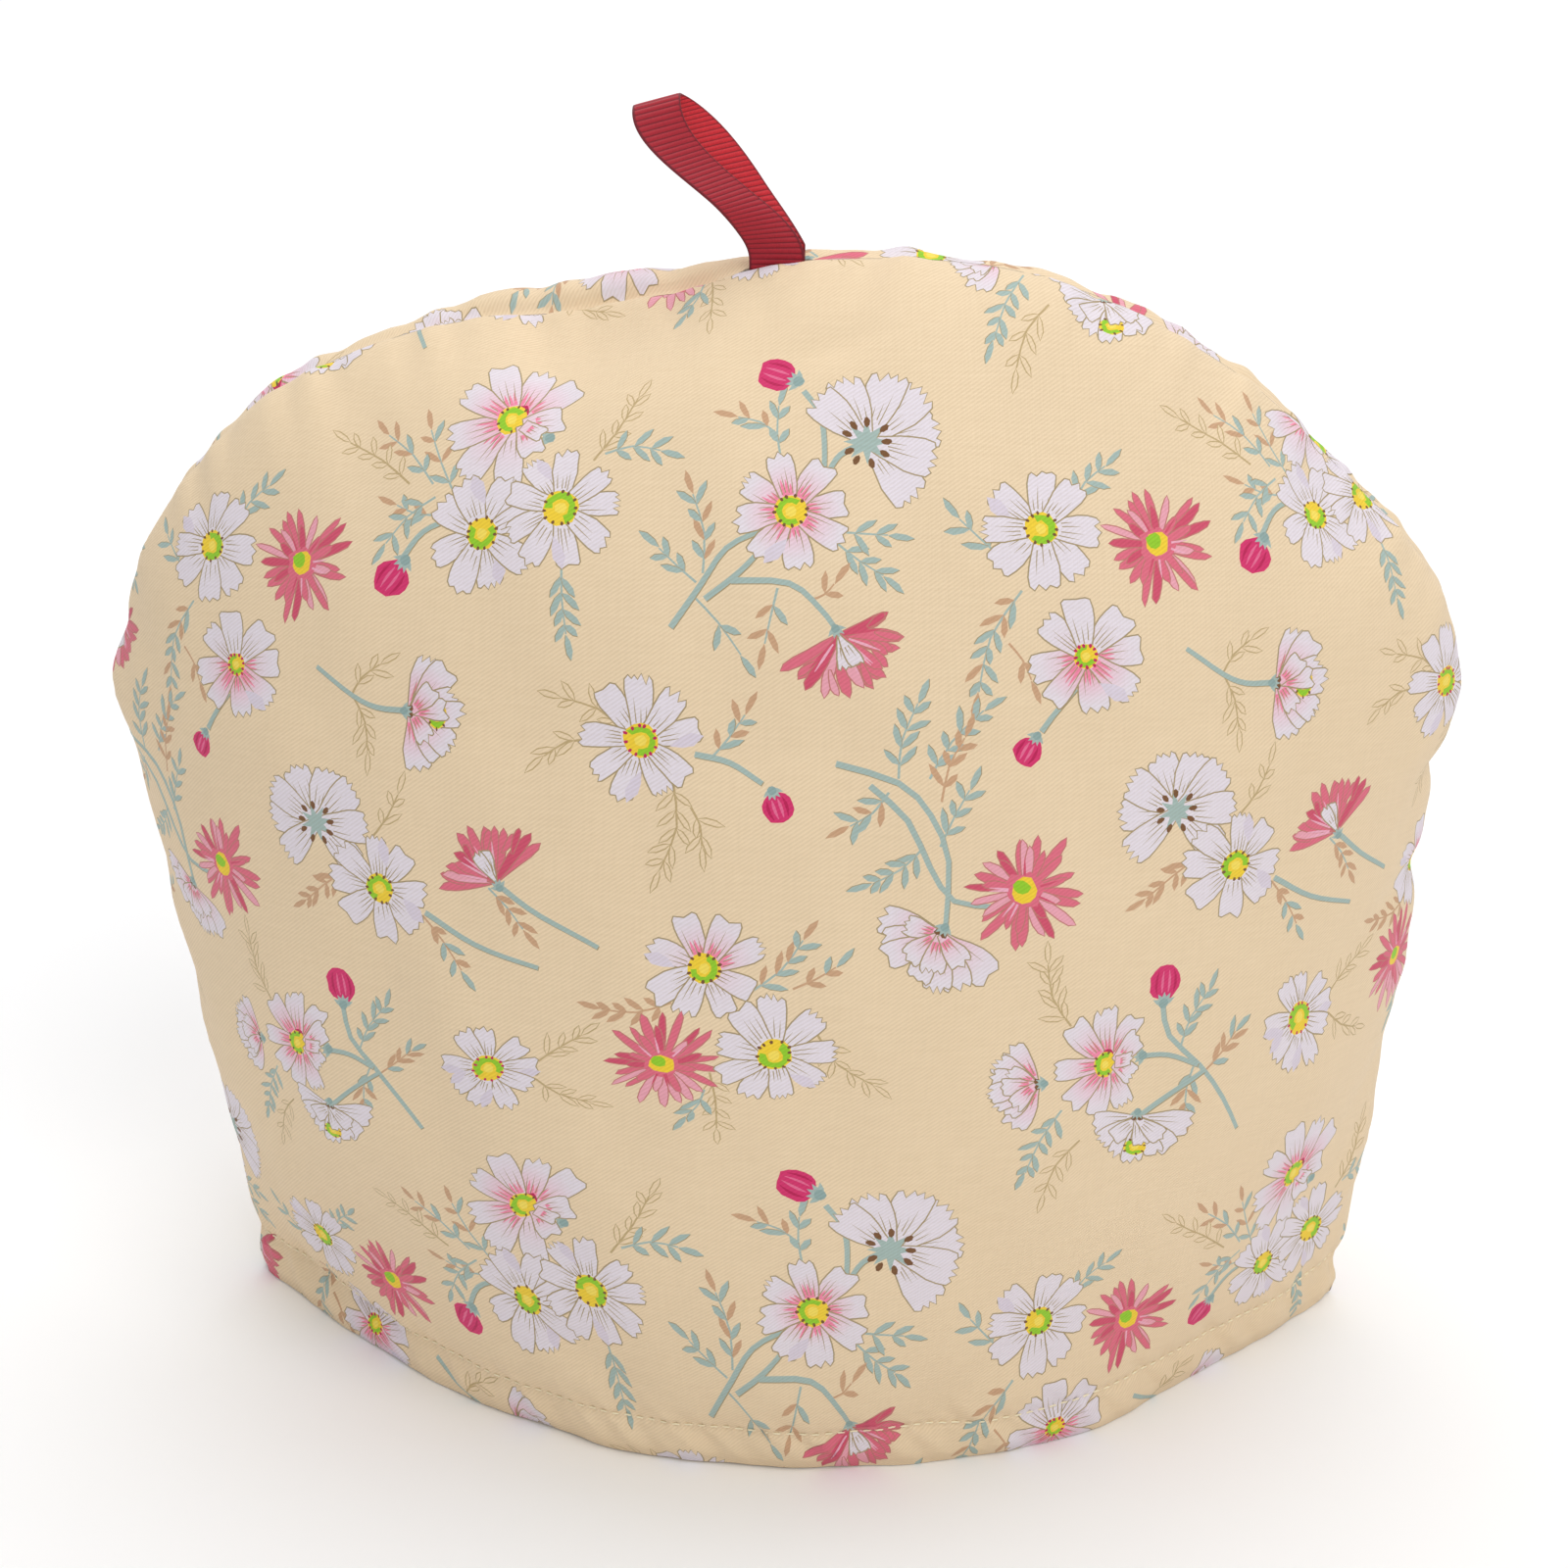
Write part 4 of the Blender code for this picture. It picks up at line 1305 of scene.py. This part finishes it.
def hem_foot(loop, on_hem, ring):
    """Triangles of the hem's underside, between the printed hem and the inner one."""
    foot = []
    for a, b in zip(loop, np.roll(loop, -1)):
        if a in on_hem or b in on_hem:
            in_a, in_b = ring.get(a, a), ring.get(b, b)
            if in_a != a:
                foot.append((a, in_a, b))
            if in_b != b:
                foot.append((b, in_a, in_b))
    return np.array(foot)


def triangle_mesh(name, points, faces):
    """A mesh of triangles, made from whole arrays."""
    mesh = bpy.data.meshes.new(name)
    mesh.vertices.add(len(points))
    mesh.vertices.foreach_set("co", points.ravel())
    mesh.loops.add(faces.size)
    mesh.loops.foreach_set("vertex_index", faces.ravel())
    mesh.polygons.add(len(faces))
    mesh.polygons.foreach_set("loop_start", np.arange(len(faces)) * 3)
    mesh.update()
    return mesh


def cloth_panel(name, side, grid, groups, outside, inside):
    """One wadded panel: printed outer face, turned hem and plain inner face in one closed mesh."""
    pattern = Pattern(side, grid)
    border = counter_clockwise(pattern.border())
    groups = print_on(pattern, groups)
    shapes = [shape for group in groups for shape, _ in group]
    rows = rows_within(border, SEAM_ROWS) + [hem_band(*hem_line(pattern))]
    spots = np.concatenate([hex_grid(border, GRID_STEP)] + rows)
    spots = spots[nearest_gap(spots, border) > CLEAR_OF_BORDER]
    places, triangles = cut_cloth(border, spots, groups)
    u, v, _ = pattern.u_and_v(places)
    points = outer_face(side, pattern.way_along_hem, u, v)
    free = partial(free_face, side, pattern.way_along_hem)
    clear_u, clear_v = np.clip(u, -SEAM_CLEAR, SEAM_CLEAR), np.clip(v, 0, SEAM_CLEAR)
    normals = -inward_of(side, free, clear_u, clear_v, FINE_STEP)
    loop = open_edge(triangles)
    on_hem = set(loop[(v[loop] == 0) & (np.abs(u[loop]) < 1)].tolist())
    extra, inner, ring = inner_wall(pattern, border, places, loop, on_hem, len(points))
    foot = hem_foot(loop, on_hem, ring)
    points = np.concatenate([points, extra])
    faces = np.concatenate([triangles, foot, inner])
    mesh = triangle_mesh(name, points, faces)
    lined = np.arange(len(faces)) >= len(triangles) + len(foot)
    mesh.polygons.foreach_set("material_index", lined.astype(int))
    colours = np.ones((len(faces), 3, 4))
    colours[:, :, :3] = linear(INKS["ground"])
    top = top_shapes(places, triangles, groups)
    colours[:len(triangles), :, :3] = painted(places, triangles, top, shapes)
    ink = mesh.color_attributes.new("print", "FLOAT_COLOR", "CORNER")
    ink.data.foreach_set("color", colours.ravel())
    weave = np.concatenate([places / 1000, extra[:, [0, 2]]])
    mesh.uv_layers.new(name="weave").data.foreach_set("uv", weave[faces].ravel())
    corner_normals = [normals[triangles], vertex_normals(points, foot)[foot],
                      vertex_normals(points, inner)[inner]]
    mesh.polygons.foreach_set("use_smooth", np.ones(len(faces), dtype=bool))
    mesh.normals_split_custom_set(np.concatenate(corner_normals).reshape(-1, 3))
    print(name, "shapes", len(shapes), "triangles", len(faces), "points", len(points))
    return placed_object(name, mesh, outside, inside), pattern


def hem_line(pattern):
    """The hem in flat cloth without its ends, and the way up from it."""
    line = pattern.flat[0]
    if pattern.side == BACK:
        line = line[::-1]
    way = way_along(line)
    low = at_way(line, way, np.arange(HEM_END_MARGIN, way[-1] - HEM_END_MARGIN, HEM_ALONG))
    step = unit(np.gradient(low, axis=0))
    return low, np.stack([-step[:, 1], step[:, 0]], axis=1)


def hem_band(low, up):
    """Close rows of points over the hem and its stitching."""
    return np.concatenate([low + up * gap for gap in HEM_ROWS])


def tube(path, radii, sides):
    """Rings of points round a path, closed to a point at both ends, as vertices and faces."""
    path = np.asarray(path)
    way = unit(np.gradient(path, axis=0))
    aside = unit(np.cross(way, (0.0, 0.0, 1.0)), 1e-9)
    over = np.cross(aside, way)
    turn = np.arange(sides)[None, :, None] * 2 * math.pi / sides
    spokes = aside[:, None] * np.cos(turn) + over[:, None] * np.sin(turn)
    rings = path[:, None] + radii[:, None, None] * spokes
    vertices = np.concatenate([rings.reshape(-1, 3), path[:1], path[-1:]])
    faces = []
    for ring in range(len(path) - 1):
        for k in range(sides):
            a, b = ring * sides + k, ring * sides + (k + 1) % sides
            faces.append((a, b, b + sides, a + sides))
    first, last, end = len(path) * sides, len(path) * sides + 1, (len(path) - 1) * sides
    for k in range(sides):
        faces.append((first, (k + 1) % sides, k))
        faces.append((last, end + k, end + (k + 1) % sides))
    return vertices, faces


def hem_stitches(name, pattern, thread):
    """Every stitch of the hem as a short thread that rises from the cloth and dives back in."""
    side = pattern.side
    count = int((pattern.hem_way[-1] - pattern.hem_way[0] - STITCH_END_MARGIN) / STITCH_PITCH)
    share = np.linspace(-0.5, 0.5, len(STITCH_RADII))
    rng = np.random.default_rng(4)
    middles = (np.arange(count) - (count - 1) / 2) * STITCH_PITCH
    way = middles[:, None] + share * STITCH_LONG * rng.uniform(0.9, 1.1, (count, 1))
    u = np.interp(way, pattern.hem_way, pattern.hem_u)
    v = v_at_height(u, HEM_VALLEY_Z + rng.uniform(-STITCH_WOBBLE, STITCH_WOBBLE, (count, 1)))
    lift = STITCH_THICK * (0.62 - 18.4 * share**4 - 0.4 * share**2)
    surface = partial(outer_face, side, pattern.way_along_hem)
    paths = surface(u, v) - inward_of(side, surface, u, v, FINE_STEP) * lift[:, None]
    radii = STITCH_THICK / 2 * np.array(STITCH_RADII)
    vertices, faces = [], []
    for path in paths:
        made, corners = tube(path, radii, STITCH_SIDES)
        faces += [[corner + len(vertices) * len(made) for corner in face] for face in corners]
        vertices.append(made)
    return mesh_object(name, np.concatenate(vertices), faces, thread)


def v_at_height(u, height):
    """v of the smooth cloth where it is so high."""
    v = np.full_like(u, 0.05)
    for _ in range(12):
        z = smooth_cloth(FRONT, u, v)[..., 2]
        slope = (smooth_cloth(FRONT, u, v + 1e-4)[..., 2] - z) / 1e-4
        v = np.clip(v + (height - z) / slope, 1e-4, 1)
    return v


def placed_object(name, mesh, *materials):
    """An object of the mesh, in the scene."""
    for made_of in materials:
        mesh.materials.append(made_of)
    made = bpy.data.objects.new(name, mesh)
    bpy.context.scene.collection.objects.link(made)
    return made


def mesh_object(name, vertices, faces, *materials):
    """A smooth-shaded object of vertices and faces."""
    mesh = bpy.data.meshes.new(name)
    mesh.from_pydata([tuple(v) for v in np.asarray(vertices)], [], [tuple(f) for f in faces])
    mesh.polygons.foreach_set("use_smooth", np.ones(len(mesh.polygons), dtype=bool))
    return placed_object(name, mesh, *materials)


def ribbon_place(along):
    """Middle of the ribbon's width as along goes 0 (near root) .. 1 (far root), its tilt and its turn."""
    turn = along * math.pi
    climb = np.sin(turn)
    free = np.clip(climb - RIBBON_HELD, 0, None) / (1 - RIBBON_HELD)
    y = -np.cos(turn) * (RIBBON_ROOT_Y + RIBBON_SWELL * free**RIBBON_SWELL_CURVE)
    near = smooth_step(climb) * RIBBON_LEAN
    far = free**RIBBON_LEAN_CURVE * RIBBON_LEAN - RIBBON_FAR_SHIFT * np.sin(2 * turn) ** 2
    x = RIBBON_X - np.where(along > 0.5, far, near)
    bent = np.where(along > 0.5, 0.0, RIBBON_NEAR_BEND * np.sin(math.pi * climb) ** 2)
    yaw = RIBBON_YAW * (smooth_step(np.clip(climb / RIBBON_TURN_DONE, 0, 1)) + bent)
    return np.stack([x, y, TOP_Z - SEAM_GROOVE + RIBBON_RISE * climb], axis=1), RIBBON_TWIST * climb, yaw


def ribbon_line():
    """Even points along the whole ribbon, the way across it there, and the way along it."""
    places, tilts, yaws = ribbon_place(np.linspace(0, 1, RIBBON_POINTS))
    across = np.stack([np.cos(tilts) * np.cos(yaws), np.sin(yaws), np.sin(tilts) * np.cos(yaws)], axis=1)
    foot = np.linspace(RIBBON_ROOT, 0, RIBBON_ROOT_POINTS, endpoint=False)[:, None] * (0, 0, -1)
    places = np.concatenate([places[0] + foot, places, places[-1] + foot[::-1]])
    ends = [np.repeat(across[k:k + 1], RIBBON_ROOT_POINTS, axis=0) for k in (0, RIBBON_POINTS - 1)]
    across = np.concatenate([ends[0], across, ends[1]])
    way = way_along(places)
    even = np.arange(0, way[-1], RIB_PITCH / RIB_STEPS)
    return at_way(places, way, even), at_way(across, way, even), even


# The ribbon's section, one column after another: place across, thickness, and share of plain selvedge.
RIBBON_COLUMNS = np.array([
    (-1, 0.15, 1), (-0.985, 0.62, 1), (-0.955, 0.80, 1), (-SELVEDGE, 0.80, 0.85), (-0.86, 1, 0),
    (-0.5, 1, 0), (0, 1, 0), (0.5, 1, 0), (0.86, 1, 0),
    (SELVEDGE, 0.80, 0.85), (0.955, 0.80, 1), (0.985, 0.62, 1), (1, 0.15, 1),
])


def ribbon_faces(steps, columns):
    """Quads round a ribbon's rings, then those of its two ends; a ring goes across and back."""
    size = 2 * columns
    row, k = np.arange(steps - 1)[:, None] * size, np.arange(size)[None]
    a, b = row + k, row + (k + 1) % size
    faces = np.stack([a, b, b + size, a + size], axis=-1).reshape(-1, 4)[:, ::-1].tolist()
    for start, way in ((0, 1), ((steps - 1) * size, -1)):
        for m in range(columns - 1):
            quad = [start + m, start + m + 1, start + size - 2 - m, start + size - 1 - m]
            faces.append(quad[::way])
    return faces


def ribbon_loop(outside, inside):
    """Grosgrain folded over into a loop: ribs across both faces, plain selvedges."""
    line, across, way = ribbon_line()
    normal = unit(np.cross(across, unit(np.gradient(line, axis=0))))
    overs, edge, plain = RIBBON_COLUMNS.T
    rib = np.abs(np.cos(math.pi * way / RIB_PITCH))[:, None]
    half = RIBBON_THICK / 2 * edge[None] - RIB_DEEP * (1 - rib) * (1 - plain)[None]
    middle = line[:, None] + across[:, None] * (overs * RIBBON_WIDTH / 2)[None, :, None]
    thick = normal[:, None] * half[..., None]
    steps, columns = half.shape
    vertices = np.concatenate([middle + thick, (middle - thick)[:, ::-1]], axis=1).reshape(-1, 3)
    made = mesh_object("ribbon", vertices, ribbon_faces(steps, columns), outside, inside)
    # How raised each point is; the material paints shade into the low places between the ribs, and the plain
    # selvedges take the deep red too.
    raised = rib * (1 - plain)
    raised = np.concatenate([raised, raised[:, ::-1]], axis=1)
    corners = np.zeros(len(made.data.loops), dtype=int)
    made.data.loops.foreach_get("vertex_index", corners)
    shown = np.repeat(raised.reshape(-1)[corners][:, None], 4, axis=1)
    ribs = made.data.color_attributes.new("ribs", "BYTE_COLOR", "CORNER")
    ribs.data.foreach_set("color", shown.reshape(-1))
    # Material slots: each ring's first face takes the first red and its second face the second, the same red
    # made lighter as painted light on the loop's inner face; the ends take the first.
    around = np.tile(np.repeat([0, 1], columns), steps - 1)
    ends = np.zeros(2 * (columns - 1), dtype=int)
    made.data.polygons.foreach_set("material_index", np.concatenate([around, ends]))
    return made, float(way[-1])


class Look:
    """A new material and the nodes that are put into it."""

    def __init__(self, name, roughness, sheen, specular=0.3):
        self.made = bpy.data.materials.new(name)
        self.made.use_nodes = True
        self.nodes, self.links = self.made.node_tree.nodes, self.made.node_tree.links
        self.shader = self.nodes["Principled BSDF"]
        self.fill(self.shader, {"Roughness": roughness, "Sheen Weight": sheen, "Sheen Roughness": 0.5,
                                "Specular IOR Level": specular})

    def fill(self, node, inputs):
        """Each input gets its link or its plain value."""
        for name, value in inputs.items():
            if hasattr(value, "is_linked"):
                self.links.new(value, node.inputs[name])
            else:
                node.inputs[name].default_value = value
        return node.outputs

    def node(self, kind, inputs, **settings):
        """Outputs of a new node."""
        made = self.nodes.new("ShaderNode" + kind)
        for name, value in settings.items():
            setattr(made, name, value)
        return self.fill(made, inputs)

    def mixed(self, first, second, share, blend="MIX"):
        """A colour mix."""
        return self.node("Mix", {0: share, 6: first, 7: second}, data_type="RGBA", blend_type=blend)[2]

    def ranged(self, value, source, target):
        """A value taken from one range to another, held at its ends."""
        ends = dict(zip(("From Min", "From Max", "To Min", "To Max"), source + target))
        return self.node("MapRange", {**ends, "Value": value})["Result"]

    def noise(self, where, scale, size):
        """Noise of a size in metres of cloth, stretched by scale."""
        place = self.node("Mapping", {"Scale": scale, "Vector": where})["Vector"]
        return self.node("TexNoise", {"Scale": 1 / size, "Detail": 2.0, "Vector": place})["Fac"]

    def bands(self, where, pitch, turn, rough):
        """Even waves of a pitch in metres, turned from the cloth's across direction."""
        place = self.node("Mapping", {"Rotation": (0, 0, turn), "Vector": where})["Vector"]
        inputs = {"Scale": 2 * math.pi / (20 * pitch), "Distortion": rough, "Detail": 1.0, "Vector": place}
        return self.node("TexWave", inputs, bands_direction="Y")["Fac"]

    def finished(self, colour, heights):
        """The material with its colour, and bump from one height (and its distance) after another."""
        normal = {}
        for height, distance in heights:
            inputs = {"Distance": distance, "Strength": 1.0, "Height": height, **normal}
            normal = {"Normal": self.node("Bump", inputs)["Normal"]}
        self.fill(self.shader, {"Base Color": colour, **normal})
        return self.made


# The cotton's weave, in metres, with the colour that darkens it: painted shade between the twill's threads,
# and uneven tone in its slubs and clouds.
TWILL_PITCH = 0.00080
TWILL_TURN = math.radians(35)
TWILL_DEEP = 0.00004
SLUB_SIZE = 0.0012
CLOUD_SIZE = 0.05
WEAVE_SHADE_AND_TONE = (0.62, 0.56, 0.46, 1)
LINING_SIZE = 0.00060
THREAD_SIZE = 0.0004
RIBBON_THREAD_SIZE = 0.0003
RIBBON_THREAD_DEEP = 0.00003


def printed_cotton():
    """Cream twill with the print in its face-corner colours."""
    look = Look("printed_cotton", 0.82, 0.10)
    where = look.node("UVMap", {}, uv_map="weave")["UV"]
    colour = look.node("Attribute", {}, attribute_name="print")["Color"]
    slubs = look.noise(where, (0.12, 1.6, 1), SLUB_SIZE)
    ends = look.noise(where, (1.6, 0.12, 1), SLUB_SIZE)
    cloudy = look.noise(where, (1, 1, 1), CLOUD_SIZE)
    twill = look.bands(where, TWILL_PITCH, -TWILL_TURN, 0.6)
    # Darkening: in the twill's grooves it is painted shade; the slubs, ends and clouds are uneven tone of
    # the yarn.
    for height, dark in ((twill, 0.22), (slubs, 0.12), (ends, 0.08), (cloudy, 0.06)):
        share = look.ranged(height, (0.25, 0.75), (dark, 0.0))
        colour = look.mixed(colour, WEAVE_SHADE_AND_TONE, share, "MULTIPLY")
    return look.finished(colour, ((twill, TWILL_DEEP), (slubs, TWILL_DEEP * 1.2), (ends, TWILL_DEEP)))


def plain_cotton(name, colour, size):
    """Plain cotton with a fine even weave, for the lining and the thread."""
    look = Look(name, 0.85, 0.10)
    where = look.node("TexCoord", {})["Object"]
    rough = look.noise(where, (1, 1, 1), size)
    soft = look.noise(where, (1, 1, 1), 0.03)
    shade = tuple(channel * 0.86 for channel in linear(colour))
    tint = look.mixed((*linear(colour), 1), (*shade, 1), rough)
    tint = look.mixed(tint, (*shade, 1), soft)
    return look.finished(tint, ((rough, size * 0.15),))


def grosgrain(name, light, deep):
    """Red grosgrain with painted shade: a deeper red between the ribs, with fine threads along the ribbon.
    """
    look = Look(name, 0.55, 0.15)
    light, deep = (*linear(light), 1), (*linear(deep), 1)
    where = look.node("TexCoord", {})["Object"]
    threads = look.noise(where, (1.0, 1.0, 0.25), RIBBON_THREAD_SIZE)
    ribs = look.node("Attribute", {}, attribute_name="ribs")["Fac"]
    # Painted shade: the red runs from light on the rib tops to deep in the grooves between them.
    colour = look.mixed(deep, light, look.ranged(ribs, (0.0, 0.55), (0.0, 1.0)))
    colour = look.mixed(colour, deep, look.ranged(threads, (0.3, 0.8), (0.0, 0.4)))
    return look.finished(colour, ((threads, RIBBON_THREAD_DEEP),))


FLOOR_SIZE = 60.0
FLOOR_DROP = 0.0002
FLOOR_COLOUR = (0.95, 0.95, 0.95)


def floor():
    """The pale ground that the photo has, a hair below the hem."""
    half = FLOOR_SIZE / 2
    look = Look("pale_floor", 0.9, 0.0, 0.1)
    corners = [(x, y, -FLOOR_DROP) for x, y in ((-half, -half), (half, -half), (half, half), (-half, half))]
    plane = mesh_object("floor", corners, [(0, 1, 2, 3)], look.finished((*FLOOR_COLOUR, 1), ()))


# Lights: name, place, where it aims, size, power in watts, colour.
LIGHTS = (
    ("key", (0.70, -1.25, 1.75), CAMERA_TARGET, 1.3, 14.8, (1.0, 0.985, 0.96)),
    ("backdrop", (0.0, 1.3, 2.4), (0.0, 1.3, 0.0), 3.0, 40.0, (1.0, 1.0, 1.0)),
)
SKY = (0.97, 0.98, 1.0)
SKY_STRENGTH = 0.585


def lights():
    """The lamps and the even sky."""
    for name, place, target, size, power, colour in LIGHTS:
        lamp = bpy.data.lights.new(name, "AREA")
        lamp.shape = "DISK"
        lamp.size = size
        lamp.energy = power
        lamp.color = colour
        light = bpy.data.objects.new(name, lamp)
        light.location = place
        aim = Vector(target) - Vector(place)
        light.rotation_euler = aim.to_track_quat("-Z", "Y").to_euler()
        bpy.context.scene.collection.objects.link(light)
    world = bpy.data.worlds.new("studio")
    world.use_nodes = True
    sky = world.node_tree.nodes["Background"]
    sky.inputs["Color"].default_value = (*SKY, 1)
    sky.inputs["Strength"].default_value = SKY_STRENGTH
    bpy.context.scene.world = world


def camera():
    """The photo's camera."""
    data = bpy.data.cameras.new("camera")
    data.lens = CAMERA_LENS
    data.sensor_width = CAMERA_SENSOR
    made = bpy.data.objects.new("camera", data)
    back = Vector((math.sin(CAMERA_TURN) * math.cos(CAMERA_RISE),
                   -math.cos(CAMERA_TURN) * math.cos(CAMERA_RISE), math.sin(CAMERA_RISE)))
    made.location = Vector(CAMERA_TARGET) + back * CAMERA_DISTANCE
    made.rotation_euler = (-back).to_track_quat("-Z", "Y").to_euler()
    bpy.context.scene.collection.objects.link(made)
    bpy.context.scene.camera = made


def main():
    """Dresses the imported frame."""
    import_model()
    camera()
    lights()
    floor()
    bpy.context.scene.view_settings.view_transform = "Standard"
    printed, lining = printed_cotton(), plain_cotton("plain_lining", (240, 232, 214), LINING_SIZE)
    thread = plain_cotton("cream_thread", (254, 242, 208), THREAD_SIZE)
    grid, groups = flat_pattern(), with_visible_edges(tile())
    for side, node in ((FRONT, "front_panel"), (BACK, "back_panel")):
        panel, pattern = cloth_panel(node + "_cloth", side, grid, groups, printed, lining)
        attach(panel, "root")
        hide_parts(node)
        stitches = hem_stitches(node + "_stitches", pattern, thread)
        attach(stitches, "root")
    # The ribbon's second grosgrain is the same red made lighter: painted light on the loop's inner face. The
    # second colour of each is the painted shade between its ribs.
    ribbon, length = ribbon_loop(grosgrain("red_grosgrain", (172, 25, 43), (108, 10, 28)),
                                 grosgrain("red_grosgrain_painted_lit", (206, 30, 44), (122, 10, 26)))
    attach(ribbon, "root")
    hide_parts("ribbon_loop")


main()
